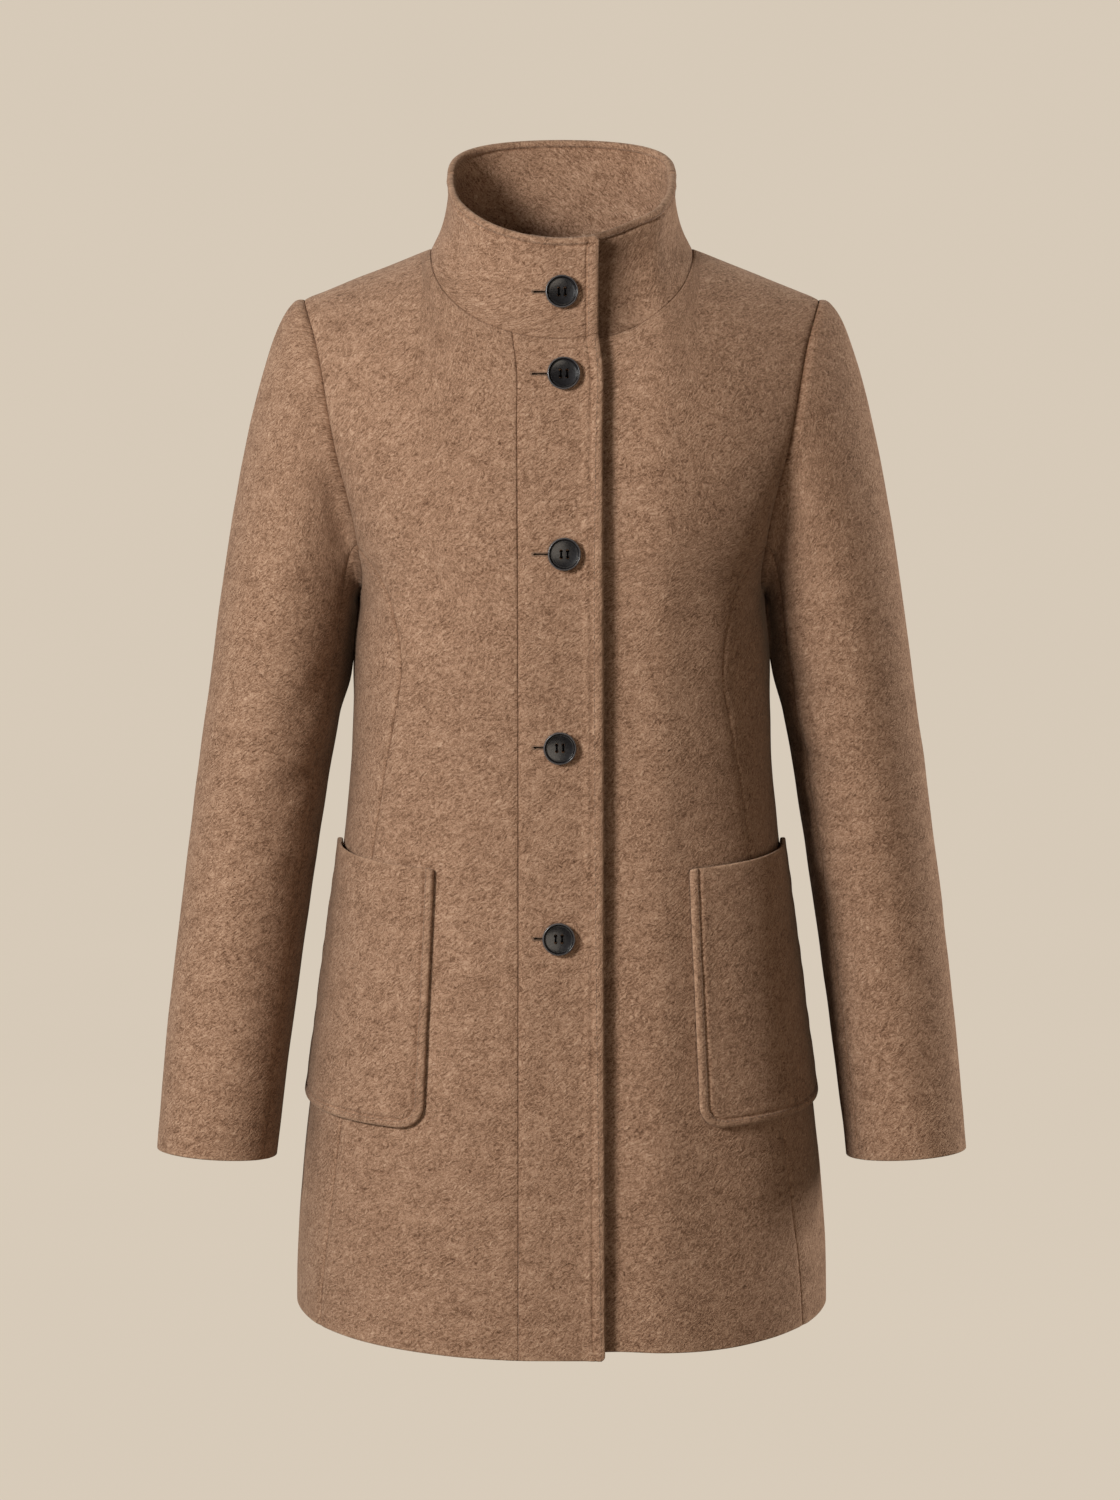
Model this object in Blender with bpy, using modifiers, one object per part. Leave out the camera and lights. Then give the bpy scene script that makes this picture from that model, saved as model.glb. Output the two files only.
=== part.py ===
"""Funnel-neck wool coat, single breasted, right over left, hanging in its worn shape.

Metres, +Z up, front faces -Y. The origin lies between the two points where the neck meets the
shoulders, so the wearer's shoulders carry the coat there. Right and left are the wearer's own,
and the wearer's right is at -X.

Every panel is drawn on one smooth coat surface. A place on it has two values: `turn`, the angle
round the body from the centre front (positive to the wearer's left), and `rise`, the height,
which goes on over the curve of the shoulder as if the cloth were unrolled.
"""

import math

import bmesh
import bpy
import numpy as np
from mathutils import Vector

# ------------------------------------------------------------------ cloth and seams
CLOTH = 0.0025          # one layer of felted wool
COLLAR_CLOTH = 0.0035   # the collar is made double
POCKET_CLOTH = 0.0030
SEAM_GAP = 0.0003       # left between two pieces that are sewn together
LAP_DROP = 0.0042       # how far the under front lies below the upper one
SHARP_ANGLE = math.radians(50)   # edges steeper than this are shaded sharp

# ------------------------------------------------------------------ the coat surface
HEM = -0.783            # at the side seams
HEM_DIP = 0.009         # and this much lower at the centre front
NECK_HALF = 0.095       # neck seam to centre, at the shoulder
SHOULDER_END = 0.1875   # shoulder seam's outer end, from the centre
SHOULDER_SLOPE = 0.405  # fall of the shoulder line for each metre outwards
DOME_FRONT = 0.110      # height over which the front rounds back to the shoulder line
DOME_BACK = 0.100
NECK_ROUNDING = 0.030   # rounds the shoulder line over where it would peak at the centre
SETTLING = 6            # rounds in which a height and what depends on it settle

BODY_COLUMNS = ("height", "half_width", "front", "back", "square_front", "square_back")
BODY = (
    (-0.795, 0.1990, 0.156, 0.146, 2.35, 2.25),
    (-0.740, 0.1975, 0.154, 0.145, 2.35, 2.25),
    (-0.690, 0.1938, 0.152, 0.143, 2.35, 2.25),
    (-0.630, 0.1872, 0.149, 0.140, 2.40, 2.30),
    (-0.560, 0.1780, 0.145, 0.135, 2.40, 2.30),
    (-0.490, 0.1685, 0.140, 0.126, 2.40, 2.30),
    (-0.430, 0.1605, 0.136, 0.116, 2.40, 2.30),
    (-0.380, 0.1555, 0.134, 0.111, 2.40, 2.30),
    (-0.330, 0.1532, 0.134, 0.112, 2.40, 2.30),
    (-0.285, 0.1508, 0.135, 0.116, 2.40, 2.30),
    (-0.252, 0.1480, 0.135, 0.120, 2.40, 2.30),
    (-0.230, 0.1500, 0.134, 0.122, 2.40, 2.30),
    (-0.200, 0.1610, 0.131, 0.123, 2.40, 2.30),
    (-0.150, 0.1800, 0.122, 0.121, 2.40, 2.30),
    (-0.100, 0.1945, 0.110, 0.114, 2.40, 2.30),
    (-0.050, 0.2060, 0.098, 0.102, 2.40, 2.30),
    (0.000, 0.2130, 0.088, 0.088, 2.40, 2.30),
    (0.040, 0.2160, 0.082, 0.080, 2.40, 2.30),
)

# ------------------------------------------------------------------ seams, as seen from the front
NECK_DROP_FRONT = 0.0577   # neck seam at the centre front, below the origin
NECK_BACK = 0.052          # neck seam at the centre back, behind the origin
NECK_BACK_SQUARE = 2.3

BAND_COLUMNS = ("height", "seam", "leading_edge")
BAND = (
    (-0.792, -0.0314, 0.0314),
    (-0.528, -0.0312, 0.0304),
    (-0.349, -0.0311, 0.0301),
    (-0.117, -0.0318, 0.0292),
    (-0.076, -0.0322, 0.0292),
    (-0.055, -0.0352, 0.0262),
)
UNDERLAP = -0.024          # free edge of the under front, from the centre
LAP_EASE = (0.036, 0.078)  # the under front comes up to the surface between these two
HEM_LIFT = 0.0065          # the under front's hem is this much higher at the lap
HEM_LIFT_ENDS = (0.035, 0.130)

PRINCESS_COLUMNS = ("height", "out")
PRINCESS = (
    (-0.787, 0.1780),
    (-0.745, 0.1752),
    (-0.690, 0.1685),
    (-0.640, 0.1622),
    (-0.530, 0.1485),
    (-0.420, 0.1355),
    (-0.364, 0.1266),
    (-0.331, 0.1205),
    (-0.294, 0.1156),
    (-0.258, 0.1205),
    (-0.230, 0.1318),
    (-0.209, 0.1480),
)

ARMHOLE_COLUMNS = ("turn", "height")
ARMHOLE_FRONT = ((56.6, -0.064), (56.7, -0.100), (58.8, -0.1425), (63.0, -0.184),
                 (67.8, -0.216), (76.0, -0.2425), (90.0, -0.252))
ARMHOLE_BACK = ((120.5, -0.066), (120.0, -0.100), (118.5, -0.145), (114.5, -0.190),
                (109.5, -0.224), (101.0, -0.2455), (90.0, -0.252))
# Steps of the armhole's ring: down to the princess seam, to the side seam, up to the hind
# arm seam, and on to the shoulder.
RING_STEPS = (9, 6, 4, 8)
PRINCESS_AT = 0.74         # share of the front armhole above the princess seam
HIND_SEAM_AT = 0.27        # share of the back armhole below the hind arm seam

# ------------------------------------------------------------------ sleeve
# The centre of each ring (height, out from the centre line, forward), its half sizes, and how
# much higher its front edge (tilt) and its outer edge (cant) lie, for each metre.
SLEEVE_COLUMNS = ("height", "out", "forward", "half_width", "half_depth", "tilt", "cant")
SLEEVE = (
    (-0.286, 0.2050, 0.000, 0.0502, 0.0600, 0.00, 0.04),
    (-0.331, 0.2118, -0.002, 0.0494, 0.0585, 0.00, 0.05),
    (-0.378, 0.2197, -0.003, 0.0486, 0.0570, 0.00, 0.06),
    (-0.430, 0.2272, -0.002, 0.0478, 0.0555, 0.01, 0.06),
    (-0.480, 0.2344, 0.001, 0.0474, 0.0540, 0.03, 0.06),
    (-0.524, 0.2402, 0.006, 0.0468, 0.0525, 0.05, 0.06),
    (-0.572, 0.2462, 0.013, 0.0462, 0.0505, 0.07, 0.06),
    (-0.622, 0.2517, 0.022, 0.0452, 0.0480, 0.08, 0.06),
    (-0.6665, 0.2562, 0.030, 0.0444, 0.0460, 0.09, 0.065),
)
SLEEVE_ROWS = 11
CAP_ROWS = (0.0, 0.035, 0.10, 0.20, 0.36, 0.56, 0.78, 1.0)
CAP_CURVE_TOP = 1.95       # how late the sleeve turns down: at the shoulder
CAP_CURVE_SIDE = 1.9       # and at the front and back
CAP_CURVE_UNDER = 2.2
HEAD_LIFT = 0.0015         # the sleeve head's roll above the shoulder line
HEAD_REACH = 0.40          # share of the cap over which that roll rises and falls
SEAM_LEAN = 0.5            # how far the cap's second ring tips back towards the coat
FRONT_ARM_SEAM = 145.0     # degrees round the arm from its outer side, over the front
HIND_ARM_SEAM = 230.0

# ------------------------------------------------------------------ collar
COLLAR_HALF = 0.0826       # the collar's top edge: half width, and its reach to front and back
COLLAR_FRONT = 0.084
COLLAR_BACK = 0.060
COLLAR_SQUARE = 2.5
COLLAR_TOP_FRONT = 0.0125  # height of the top edge
COLLAR_TOP_SIDE = 0.055
COLLAR_TOP_BACK = 0.077
COLLAR_ROWS = 6
COLLAR_HOLLOW = 2.6        # how soon the collar turns upright above the neck seam

# ------------------------------------------------------------------ pockets
POCKET_TOP = -0.4325
POCKET_TOP_FALL = 0.004    # the mouth is this much lower at its inner end
POCKET_BOTTOM = -0.6258
POCKET_INNER_TOP = 0.0912  # inner edge from the centre, at the mouth and at the bottom
POCKET_INNER_BOTTOM = 0.0998
POCKET_OUTER_TURN = 86.0
POCKET_CORNER = 0.018      # radius of the lower inner corner
CORNER_STEPS = 3           # steps in each half of its arc
POCKET_COLUMNS = 9
POCKET_ROWS = 7
POCKET_GAP = 0.0009
MOUTH_STANDS_OFF = 0.0030  # the mouth's middle stands off the coat by this much more
MOUTH_FROM = 0.55          # share of the pocket's height where it starts to stand off
MOUTH_FULLNESS = 0.6       # below 1, the mouth bows out soon after its sewn ends

# ------------------------------------------------------------------ buttons
BUTTON_RADIUS = 0.0122
BUTTON_PROFILE = (          # (share of the radius, height above the cloth), top to bottom
    (0.00, 0.0029),
    (0.62, 0.0031),
    (0.74, 0.0044),
    (0.88, 0.0049),
    (0.98, 0.0041),
    (1.00, 0.0030),
    (0.86, 0.0012),
    (0.00, 0.0012),
)
BUTTON_STEPS = 24
TURNED_MERGE = 0.00001
HOLE_RADIUS = 0.00105
HOLE_OFFSET = 0.0021
HOLE_SIDES = 6
DRILL_LENGTH = 0.012
BUTTONS = (                 # (height on the front, out from the centre)
    ("button_1", -0.0256, 0.0002),
    ("button_2", -0.0824, 0.0015),
    ("button_3", -0.2081, 0.0019),
    ("button_4", -0.3465, -0.0012),
    ("button_5", -0.4840, -0.0020),
)

# ------------------------------------------------------------------ how finely panels are divided
LONG_ROWS = 14              # hem to armhole
LONG_GRADING = 0.45         # rows lie closer towards the bust
NECK_STEPS_RIGHT = 6
NECK_STEPS_LEFT = 9
NECK_STEPS_BACK = 12
BAND_STEPS = 3
SHOULDER_STEPS = 5
TOP_FADES = 4

WOOL = (0.262, 0.162, 0.103, 1.0)
HORN = (0.012, 0.013, 0.016, 1.0)


# ================================================================== reading the tables
def smooth_read(keys, values, at):
    """Reads a table between its rows, along a smooth curve."""
    keys = np.asarray(keys, float)
    values = np.asarray(values, float)
    slopes = np.gradient(values, keys)
    i = np.clip(np.searchsorted(keys, at) - 1, 0, len(keys) - 2)
    span = keys[i + 1] - keys[i]
    t = np.clip((at - keys[i]) / span, 0.0, 1.0)
    start = (1 + 2 * t) * (1 - t) ** 2
    end = t * t * (3 - 2 * t)
    bend = span * (t * (1 - t) ** 2 * slopes[i] - t * t * (1 - t) * slopes[i + 1])
    return start * values[i] + end * values[i + 1] + bend


def column(table, names, name):
    return np.array([row[names.index(name)] for row in table], float)


def body_value(name, height):
    return smooth_read(column(BODY, BODY_COLUMNS, "height"), column(BODY, BODY_COLUMNS, name), height)


def ease(x, start, end):
    """0 up to start, 1 from end on, with a soft S between them."""
    t = np.clip((x - start) / (end - start), 0.0, 1.0)
    return t * t * (3 - 2 * t)


# ================================================================== the coat surface
def ridge(x):
    """Height of the shoulder line at the distance x from the centre."""
    return SHOULDER_SLOPE * (math.hypot(NECK_HALF, NECK_ROUNDING) - np.hypot(x, NECK_ROUNDING))


def coat_point(turn, rise):
    """The point of the coat surface at a turn and a rise."""
    turn, rise = np.broadcast_arrays(np.asarray(turn, float), np.asarray(rise, float))
    behind = np.abs(turn) > math.pi / 2
    dome = np.where(behind, DOME_BACK, DOME_FRONT)
    sine, cosine = np.sin(turn), np.cos(turn)
    height = rise
    for _ in range(SETTLING):
        n = np.where(behind, body_value("square_back", height), body_value("square_front", height))
        reach = (np.abs(sine) ** n + np.abs(cosine) ** n) ** (-1 / n)
        x = body_value("half_width", height) * sine * reach
        foot = ridge(x) - dome
        over = np.maximum((rise - foot) / dome, 0.0)
        height = np.where(over > 0, foot + dome * np.sin(over), rise)
    depth = np.where(behind, body_value("back", height), body_value("front", height))
    return np.stack([x, -depth * cosine * reach * np.cos(over), height], -1)


def coat_normal(turn, rise, step=2e-4):
    """The outward direction there."""
    across = coat_point(turn + step, rise) - coat_point(turn - step, rise)
    up = coat_point(turn, rise + step) - coat_point(turn, rise - step)
    return unit(np.cross(across, up))


def unit(vectors):
    return vectors / np.linalg.norm(vectors, axis=-1, keepdims=True)


def place(x, height, behind=False):
    """Turn and rise of the point seen from the front at (x, height)."""
    x, height = np.broadcast_arrays(np.asarray(x, float), np.asarray(height, float))
    n = body_value("square_back" if behind else "square_front", height)
    share = np.clip(np.abs(x) / body_value("half_width", height), 0.0, 1.0)
    turn = np.arctan2(share, (1 - share ** n) ** (1 / n))
    turn = np.where(x < 0, -1.0, 1.0) * (math.pi - turn if behind else turn)
    return np.stack([turn, unrolled(x, height, behind)], -1)


def unrolled(x, height, behind):
    dome = DOME_BACK if behind else DOME_FRONT
    foot = ridge(x) - dome
    over = np.arcsin(np.clip((height - foot) / dome, -1.0, 1.0))
    return np.where(height > foot, foot + dome * over, height)


def evenly(curve, steps, grading=0.0):
    """A curve of (turn, rise) points, read again at even distances along the cloth.

    With a grading, the steps shrink steadily from (1 + grading) to (1 - grading) of the mean.
    """
    points = coat_point(curve[:, 0], curve[:, 1])
    length = np.concatenate([[0.0], np.cumsum(np.linalg.norm(np.diff(points, axis=0), axis=1))])
    share = np.linspace(0.0, 1.0, steps + 1)
    at = length[-1] * share * (1 + grading * (1 - share))
    return np.stack([np.interp(at, length, curve[:, k]) for k in (0, 1)], -1)


def joined(*curves):
    """Curves that follow each other, as one, with each shared end kept once."""
    return np.concatenate([curves[0]] + [curve[1:] for curve in curves[1:]])


# ================================================================== seam curves
FINE = 200                  # points in a curve before it is evenly divided


def hem_height(turn):
    """The hem dips a little towards the centre front."""
    return HEM - HEM_DIP * np.maximum(np.cos(turn), 0.0) ** 2


def neckline(x_from, x_to, steps, behind=False):
    """The neck seam between two distances from the centre, on the front or on the back."""
    ends = math.asin(x_from / NECK_HALF), math.asin(x_to / NECK_HALF)
    x = NECK_HALF * np.sin(np.linspace(*ends, FINE))
    across = np.abs(x) / NECK_HALF
    if not behind:
        height = -NECK_DROP_FRONT * np.sqrt(np.maximum(1 - across ** 2, 0.0))
        return evenly(place(x, height), steps)
    back = NECK_BACK * np.maximum(1 - across ** NECK_BACK_SQUARE, 0.0) ** (1 / NECK_BACK_SQUARE)
    height = np.zeros_like(x)
    for _ in range(SETTLING):
        n = body_value("square_back", height)
        share = np.abs(x) / body_value("half_width", height)
        depth = body_value("back", height) * (1 - share ** n) ** (1 / n)
        over = np.arccos(np.clip(back / depth, 0.0, 1.0))
        height = ridge(x) - DOME_BACK + DOME_BACK * np.sin(over)
    curve = place(x, height, True)
    curve[:, 0] %= 2 * math.pi
    return evenly(curve, steps)


def shoulder(side, behind=False):
    """The shoulder seam, from the neck outwards."""
    x = side * np.linspace(NECK_HALF, SHOULDER_END, FINE)
    return evenly(place(x, ridge(x), behind), SHOULDER_STEPS)


def armhole_half(side, behind):
    """Half of the armhole, from the shoulder seam to the side seam, finely divided."""
    rows = ARMHOLE_BACK if behind else ARMHOLE_FRONT
    start = place(SHOULDER_END, ridge(SHOULDER_END), behind)
    turn = np.concatenate([[start[0]], np.radians(column(rows, ARMHOLE_COLUMNS, "turn"))])
    height = np.concatenate([[ridge(SHOULDER_END)], column(rows, ARMHOLE_COLUMNS, "height")])
    knots = np.arange(len(turn), dtype=float)
    at = np.linspace(0.0, knots[-1], FINE)
    turn, height = smooth_read(knots, turn, at), smooth_read(knots, height, at)
    n = body_value("square_back" if behind else "square_front", height)
    reach = (np.abs(np.sin(turn)) ** n + np.abs(np.cos(turn)) ** n) ** (-1 / n)
    x = body_value("half_width", height) * np.sin(turn) * reach
    return np.stack([side * turn, unrolled(x, height, behind)], -1)


def split(curve, share, first, second, grading=0.0):
    """A curve cut in two at a share of its length, each part evenly divided."""
    fine = evenly(curve, FINE)
    cut = int(round(share * FINE))
    return evenly(fine[:cut + 1], first, grading), evenly(fine[cut:], second)


def armhole(side):
    """The armhole's ring in its four stretches: front high, front low, back low, back high."""
    front_high, front_low = split(armhole_half(side, False), PRINCESS_AT, *RING_STEPS[:2])
    back_low, back_high = split(armhole_half(side, True)[::-1], HIND_SEAM_AT, *RING_STEPS[2:])
    return front_high, front_low, back_low, back_high


def princess(side):
    """The seam over the bust, from the hem to the armhole."""
    end = armhole(side)[0][-1]
    top = coat_point(end[0], end[1])
    keys = column(PRINCESS, PRINCESS_COLUMNS, "height")
    out = column(PRINCESS, PRINCESS_COLUMNS, "out")
    keys[-1], out[-1] = top[2], abs(top[0])
    low = hem_height(place(out[0], keys[0])[0])
    height = np.linspace(low, top[2], FINE)
    return evenly(place(side * smooth_read(keys, out, height), height), LONG_ROWS, LONG_GRADING)


def side_seam(side):
    height = np.linspace(HEM, ARMHOLE_FRONT[-1][1], FINE)
    return evenly(np.stack([np.full(FINE, side * math.pi / 2), height], -1), LONG_ROWS, LONG_GRADING)


def long_edge(x, height):
    """A front edge divided so that its rows run level with those of the princess seam."""
    curve = place(x, height)
    share = (PRINCESS[-1][0] - height[0]) / (height[-1] - height[0])
    low, high = split(curve, share, LONG_ROWS, RING_STEPS[0], LONG_GRADING)
    return joined(low, high)


def front_edge(column_name):
    """A long edge of the button band, from the hem to the neck seam."""
    heights = column(BAND, BAND_COLUMNS, "height")
    values = column(BAND, BAND_COLUMNS, column_name)
    neck = -NECK_DROP_FRONT * np.sqrt(1 - (values[-1] / NECK_HALF) ** 2)
    low = hem_height(place(values[0], heights[0])[0])
    height = np.linspace(low, neck, FINE)
    return long_edge(smooth_read(heights, values, height), height)


# ================================================================== panels
def hem_arc(turn_from, turn_to, steps, lift=0.0):
    """The hem between two turns; the under front's is lifted at the lap."""
    turn = np.linspace(turn_from, turn_to, FINE)
    x = coat_point(turn, hem_height(turn))[:, 0]
    height = hem_height(turn) + lift * (1 - ease(x, *HEM_LIFT_ENDS))
    return evenly(np.stack([turn, height], -1), steps)


def fill(bottom, top, left, right, top_fades=TOP_FADES):
    """A panel's grid of (turn, rise) places inside its four edges.

    The bend of the top edge fades downwards with the power `top_fades`, so that the corner
    where the neck meets the shoulder doesn't reach far into the panel.
    """
    u = np.linspace(0, 1, len(bottom))[:, None, None]
    v = np.linspace(0, 1, len(left))[None, :, None]
    along = (1 - u) * left[None] + u * right[None]
    bottom_bend = bottom[:, None] - (1 - u) * bottom[0] - u * bottom[-1]
    top_bend = top[:, None] - (1 - u) * top[0] - u * top[-1]
    return along + (1 - v) * bottom_bend + v ** top_fades * top_bend


def drawn_in(points, normals, gap):
    """The grid with each edge moved inwards by half a seam gap, along the cloth."""
    moved = points.copy()
    columns, rows = points.shape[:2]
    for axis, index, inwards in ((0, 0, 1), (0, columns - 1, -1), (1, 0, 1), (1, rows - 1, -1)):
        edge = (index, slice(None)) if axis == 0 else (slice(None), index)
        along = unit(np.gradient(points[edge], axis=0))
        towards = np.cross(normals[edge], along)
        inside = np.take(points, index + inwards, axis) - points[edge]
        towards *= np.sign(np.sum(towards * inside, -1, keepdims=True))
        moved[edge] += gap / 2 * towards
    return moved


def panel(name, grid, material, drop=0.0, cloth=CLOTH):
    """A sewn piece on the coat surface, as a wall of cloth. `drop` lowers it below the surface."""
    normals = coat_normal(grid[..., 0], grid[..., 1])
    points = coat_point(grid[..., 0], grid[..., 1]) - drop * normals
    outer = drawn_in(points, normals, SEAM_GAP)
    return wall(name, outer, outer - cloth * normals, material)


def under_drop(x):
    """How far the under front lies below the surface at x."""
    return LAP_DROP * (1 - ease(x, *LAP_EASE))


def wall(name, outer, inner, material):
    """A closed wall of cloth between two grids of points: a grid primitive, extruded once."""
    columns, rows = outer.shape[:2]
    bm = bmesh.new()
    bmesh.ops.create_grid(bm, x_segments=columns - 1, y_segments=rows - 1, size=1.0)
    number = bm.verts.layers.int.new("number")
    order = sorted(bm.verts, key=lambda v: (round(v.co.x, 5), round(v.co.y, 5)))
    for k, vertex in enumerate(order):
        vertex[number] = k
        vertex.co = outer[k // rows, k % rows]
    made = bmesh.ops.extrude_face_region(bm, geom=bm.faces[:], use_keep_orig=True)
    for vertex in (g for g in made["geom"] if isinstance(g, bmesh.types.BMVert)):
        k = vertex[number]
        vertex.co = inner[k // rows, k % rows]
    bmesh.ops.recalc_face_normals(bm, faces=bm.faces[:])
    mesh = bpy.data.meshes.new(name)
    bm.to_mesh(mesh)
    bm.free()
    return new_object(name, mesh, material)


def new_object(name, mesh, material):
    obj = bpy.data.objects.new(name, mesh)
    if not mesh.materials:
        mesh.materials.append(material)
    mesh.shade_smooth()
    mesh.set_sharp_from_angle(angle=SHARP_ANGLE)
    coat.objects.link(obj)
    return obj


def front_panels(wool):
    """Centre fronts, side fronts, button band and back."""
    for side, label in ((-1, "right"), (1, "left")):
        front_high, front_low, _, _ = armhole(side)
        seam = princess(side)
        outer_edge = joined(seam, front_high[::-1])
        if side < 0:
            inner_edge = front_edge("seam")
            neck = neckline(coat_point(*inner_edge[-1])[0], side * NECK_HALF, NECK_STEPS_RIGHT)
            lift = 0.0
        else:
            x = np.full(FINE, UNDERLAP)
            neck_height = -NECK_DROP_FRONT * math.sqrt(1 - (UNDERLAP / NECK_HALF) ** 2)
            low = hem_height(0.0) + HEM_LIFT
            inner_edge = long_edge(x, np.linspace(low, neck_height, FINE))
            neck = neckline(UNDERLAP, NECK_HALF, NECK_STEPS_LEFT)
            lift = HEM_LIFT
        top = joined(neck, shoulder(side))
        bottom = hem_arc(inner_edge[0][0], seam[0][0], len(top) - 1, lift)
        grid = fill(bottom, top, inner_edge, outer_edge)
        drop = under_drop(coat_point(grid[..., 0], grid[..., 1])[..., 0:1]) if side > 0 else 0.0
        panel("front_" + label, grid, wool, drop)

        bottom = hem_arc(seam[0][0], side * math.pi / 2, RING_STEPS[1])
        panel("side_front_" + label, fill(bottom, front_low, seam, side_seam(side)), wool)

    seam_edge, leading_edge = front_edge("seam"), front_edge("leading_edge")
    x_seam, x_leading = coat_point(*seam_edge[-1])[0], coat_point(*leading_edge[-1])[0]
    bottom = evenly(np.linspace(seam_edge[0], leading_edge[0], FINE), BAND_STEPS)
    top = neckline(x_seam, x_leading, BAND_STEPS)
    panel("button_band", fill(bottom, top, seam_edge, leading_edge), wool)


def back_panel(wool):
    edges = []
    for side in (1, -1):
        _, _, back_low, back_high = armhole(side)
        edges.append(joined(side_seam(side), back_low, back_high))
    left, right = edges
    right = right + np.array([2 * math.pi, 0.0])
    neck = neckline(NECK_HALF, -NECK_HALF, NECK_STEPS_BACK, True)
    shoulders = shoulder(1, True)[::-1], shoulder(-1, True)
    top = joined(shoulders[0], neck, shoulders[1])
    top[:, 0] = np.where(top[:, 0] < 0, top[:, 0] + 2 * math.pi, top[:, 0])
    turn = np.linspace(math.pi / 2, 3 * math.pi / 2, FINE)
    bottom = evenly(np.stack([turn, np.full(FINE, HEM)], -1), len(top) - 1)
    panel("back", fill(bottom, top, left, right), wool)


# ================================================================== sleeves
def arm_ring(side, angles, height_share):
    """A ring of the sleeve below the cap; share 0 is its first row and 1 the cuff."""
    heights = column(SLEEVE, SLEEVE_COLUMNS, "height")
    height = heights[0] + (heights[-1] - heights[0]) * height_share
    order = np.argsort(heights)
    value = {
        name: smooth_read(heights[order], column(SLEEVE, SLEEVE_COLUMNS, name)[order], height)
        for name in SLEEVE_COLUMNS[1:]
    }
    ahead = value["half_depth"] * np.sin(angles)
    x = value["out"] + value["half_width"] * np.cos(angles)
    level = height + value["tilt"] * ahead + value["cant"] * value["half_width"] * np.cos(angles)
    return np.stack([side * x, -value["forward"] - ahead, level], -1)


def grid_normals(points):
    across = np.gradient(points, axis=0)
    up = np.gradient(points, axis=1)
    return unit(np.cross(across, up))


def ring_angles():
    """Angles round the arm that belong to the armhole's steps."""
    seam, hind = math.radians(FRONT_ARM_SEAM), math.radians(HIND_ARM_SEAM)
    front_high = np.linspace(0.0, seam, RING_STEPS[0] + 1)
    front_low = np.linspace(seam, math.pi, RING_STEPS[1] + 1)
    back_low = np.linspace(math.pi, hind, RING_STEPS[2] + 1)
    back_high = np.linspace(hind, 2 * math.pi, RING_STEPS[3] + 1)
    return front_high, front_low, back_low, back_high


def cap_curve(angles):
    """How late each line of the cap turns down, by its angle round the arm."""
    lean = np.cos(angles)
    top = CAP_CURVE_SIDE + (CAP_CURVE_TOP - CAP_CURVE_SIDE) * np.maximum(lean, 0) ** 2
    return top + (CAP_CURVE_UNDER - CAP_CURVE_SIDE) * np.maximum(-lean, 0) ** 2


def sleeve_grid(side):
    """The whole sleeve as a ring of lines from the armhole to the cuff, with seam directions."""
    rings = armhole(side)
    curve = joined(*rings)
    points = coat_point(curve[:, 0], curve[:, 1])
    normals = coat_normal(curve[:, 0], curve[:, 1])
    along = unit(np.roll(points[:-1], -1, 0) - np.roll(points[:-1], 1, 0))
    away = np.cross(normals[:-1], along)
    away = np.concatenate([away, away[:1]])
    centre = points[:-1].mean(0)
    if np.sum(away[0] * (centre - points[0])) < 0:
        away = -away
    start = points + SEAM_GAP / 2 * away
    angles = joined(*[a[:, None] for a in ring_angles()])[:, 0]
    end = arm_ring(side, angles, 0.0)
    late = cap_curve(angles)
    lines = []
    for share in CAP_ROWS:
        outwards = np.full_like(angles, share)
        row = start + (end - start) * np.stack([outwards, outwards, share ** late], -1)
        roll = HEAD_LIFT * math.sin(math.pi * min(share / HEAD_REACH, 1.0))
        row[:, 2] += roll * np.maximum(np.cos(angles), 0) ** 2
        lines.append(row)
    for k in range(1, SLEEVE_ROWS + 1):
        lines.append(arm_ring(side, angles, k / SLEEVE_ROWS))
    outer = np.stack(lines, 1)
    return outer, normals, away


def closed_normals(points):
    """Normals of a grid whose first and last column are the same ring line."""
    ring = points[:-1]
    across = np.roll(ring, -1, 0) - np.roll(ring, 1, 0)
    up = np.gradient(ring, axis=1)
    normals = unit(np.cross(across, up))
    return np.concatenate([normals, normals[:1]])


def sleeves(wool):
    for side, label in ((-1, "right"), (1, "left")):
        outer, seam_normals, away = sleeve_grid(side)
        normals = closed_normals(outer)
        centre = outer[:-1].mean(0)
        if np.sum(normals[0, -1] * (outer[0, -1] - centre[-1])) < 0:
            normals = -normals
        normals[:, 0] = seam_normals
        normals[:, 1] = unit(normals[:, 0] + normals[:, 2] - SEAM_LEAN * away)
        cut = RING_STEPS[0], RING_STEPS[0] + RING_STEPS[1] + RING_STEPS[2]
        under = slice(cut[0], cut[1] + 1)
        upper_order = list(range(cut[1], len(outer) - 1)) + list(range(0, cut[0] + 1))
        for name, pick in (("sleeve_upper_", upper_order), ("sleeve_under_", under)):
            points, direction = outer[pick], normals[pick]
            inset = side_gaps(points, direction)
            wall(name + label, inset, inset - CLOTH * direction, wool)


def side_gaps(points, normals):
    """Moves a piece's first and last columns inwards by half a seam gap."""
    moved = points.copy()
    for index, inwards in ((0, 1), (-1, -2)):
        along = unit(np.gradient(points[index], axis=0))
        towards = np.cross(normals[index], along)
        towards *= np.sign(np.sum(towards * (points[inwards] - points[index]), -1, keepdims=True))
        moved[index] += SEAM_GAP / 2 * towards
    return moved


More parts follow.
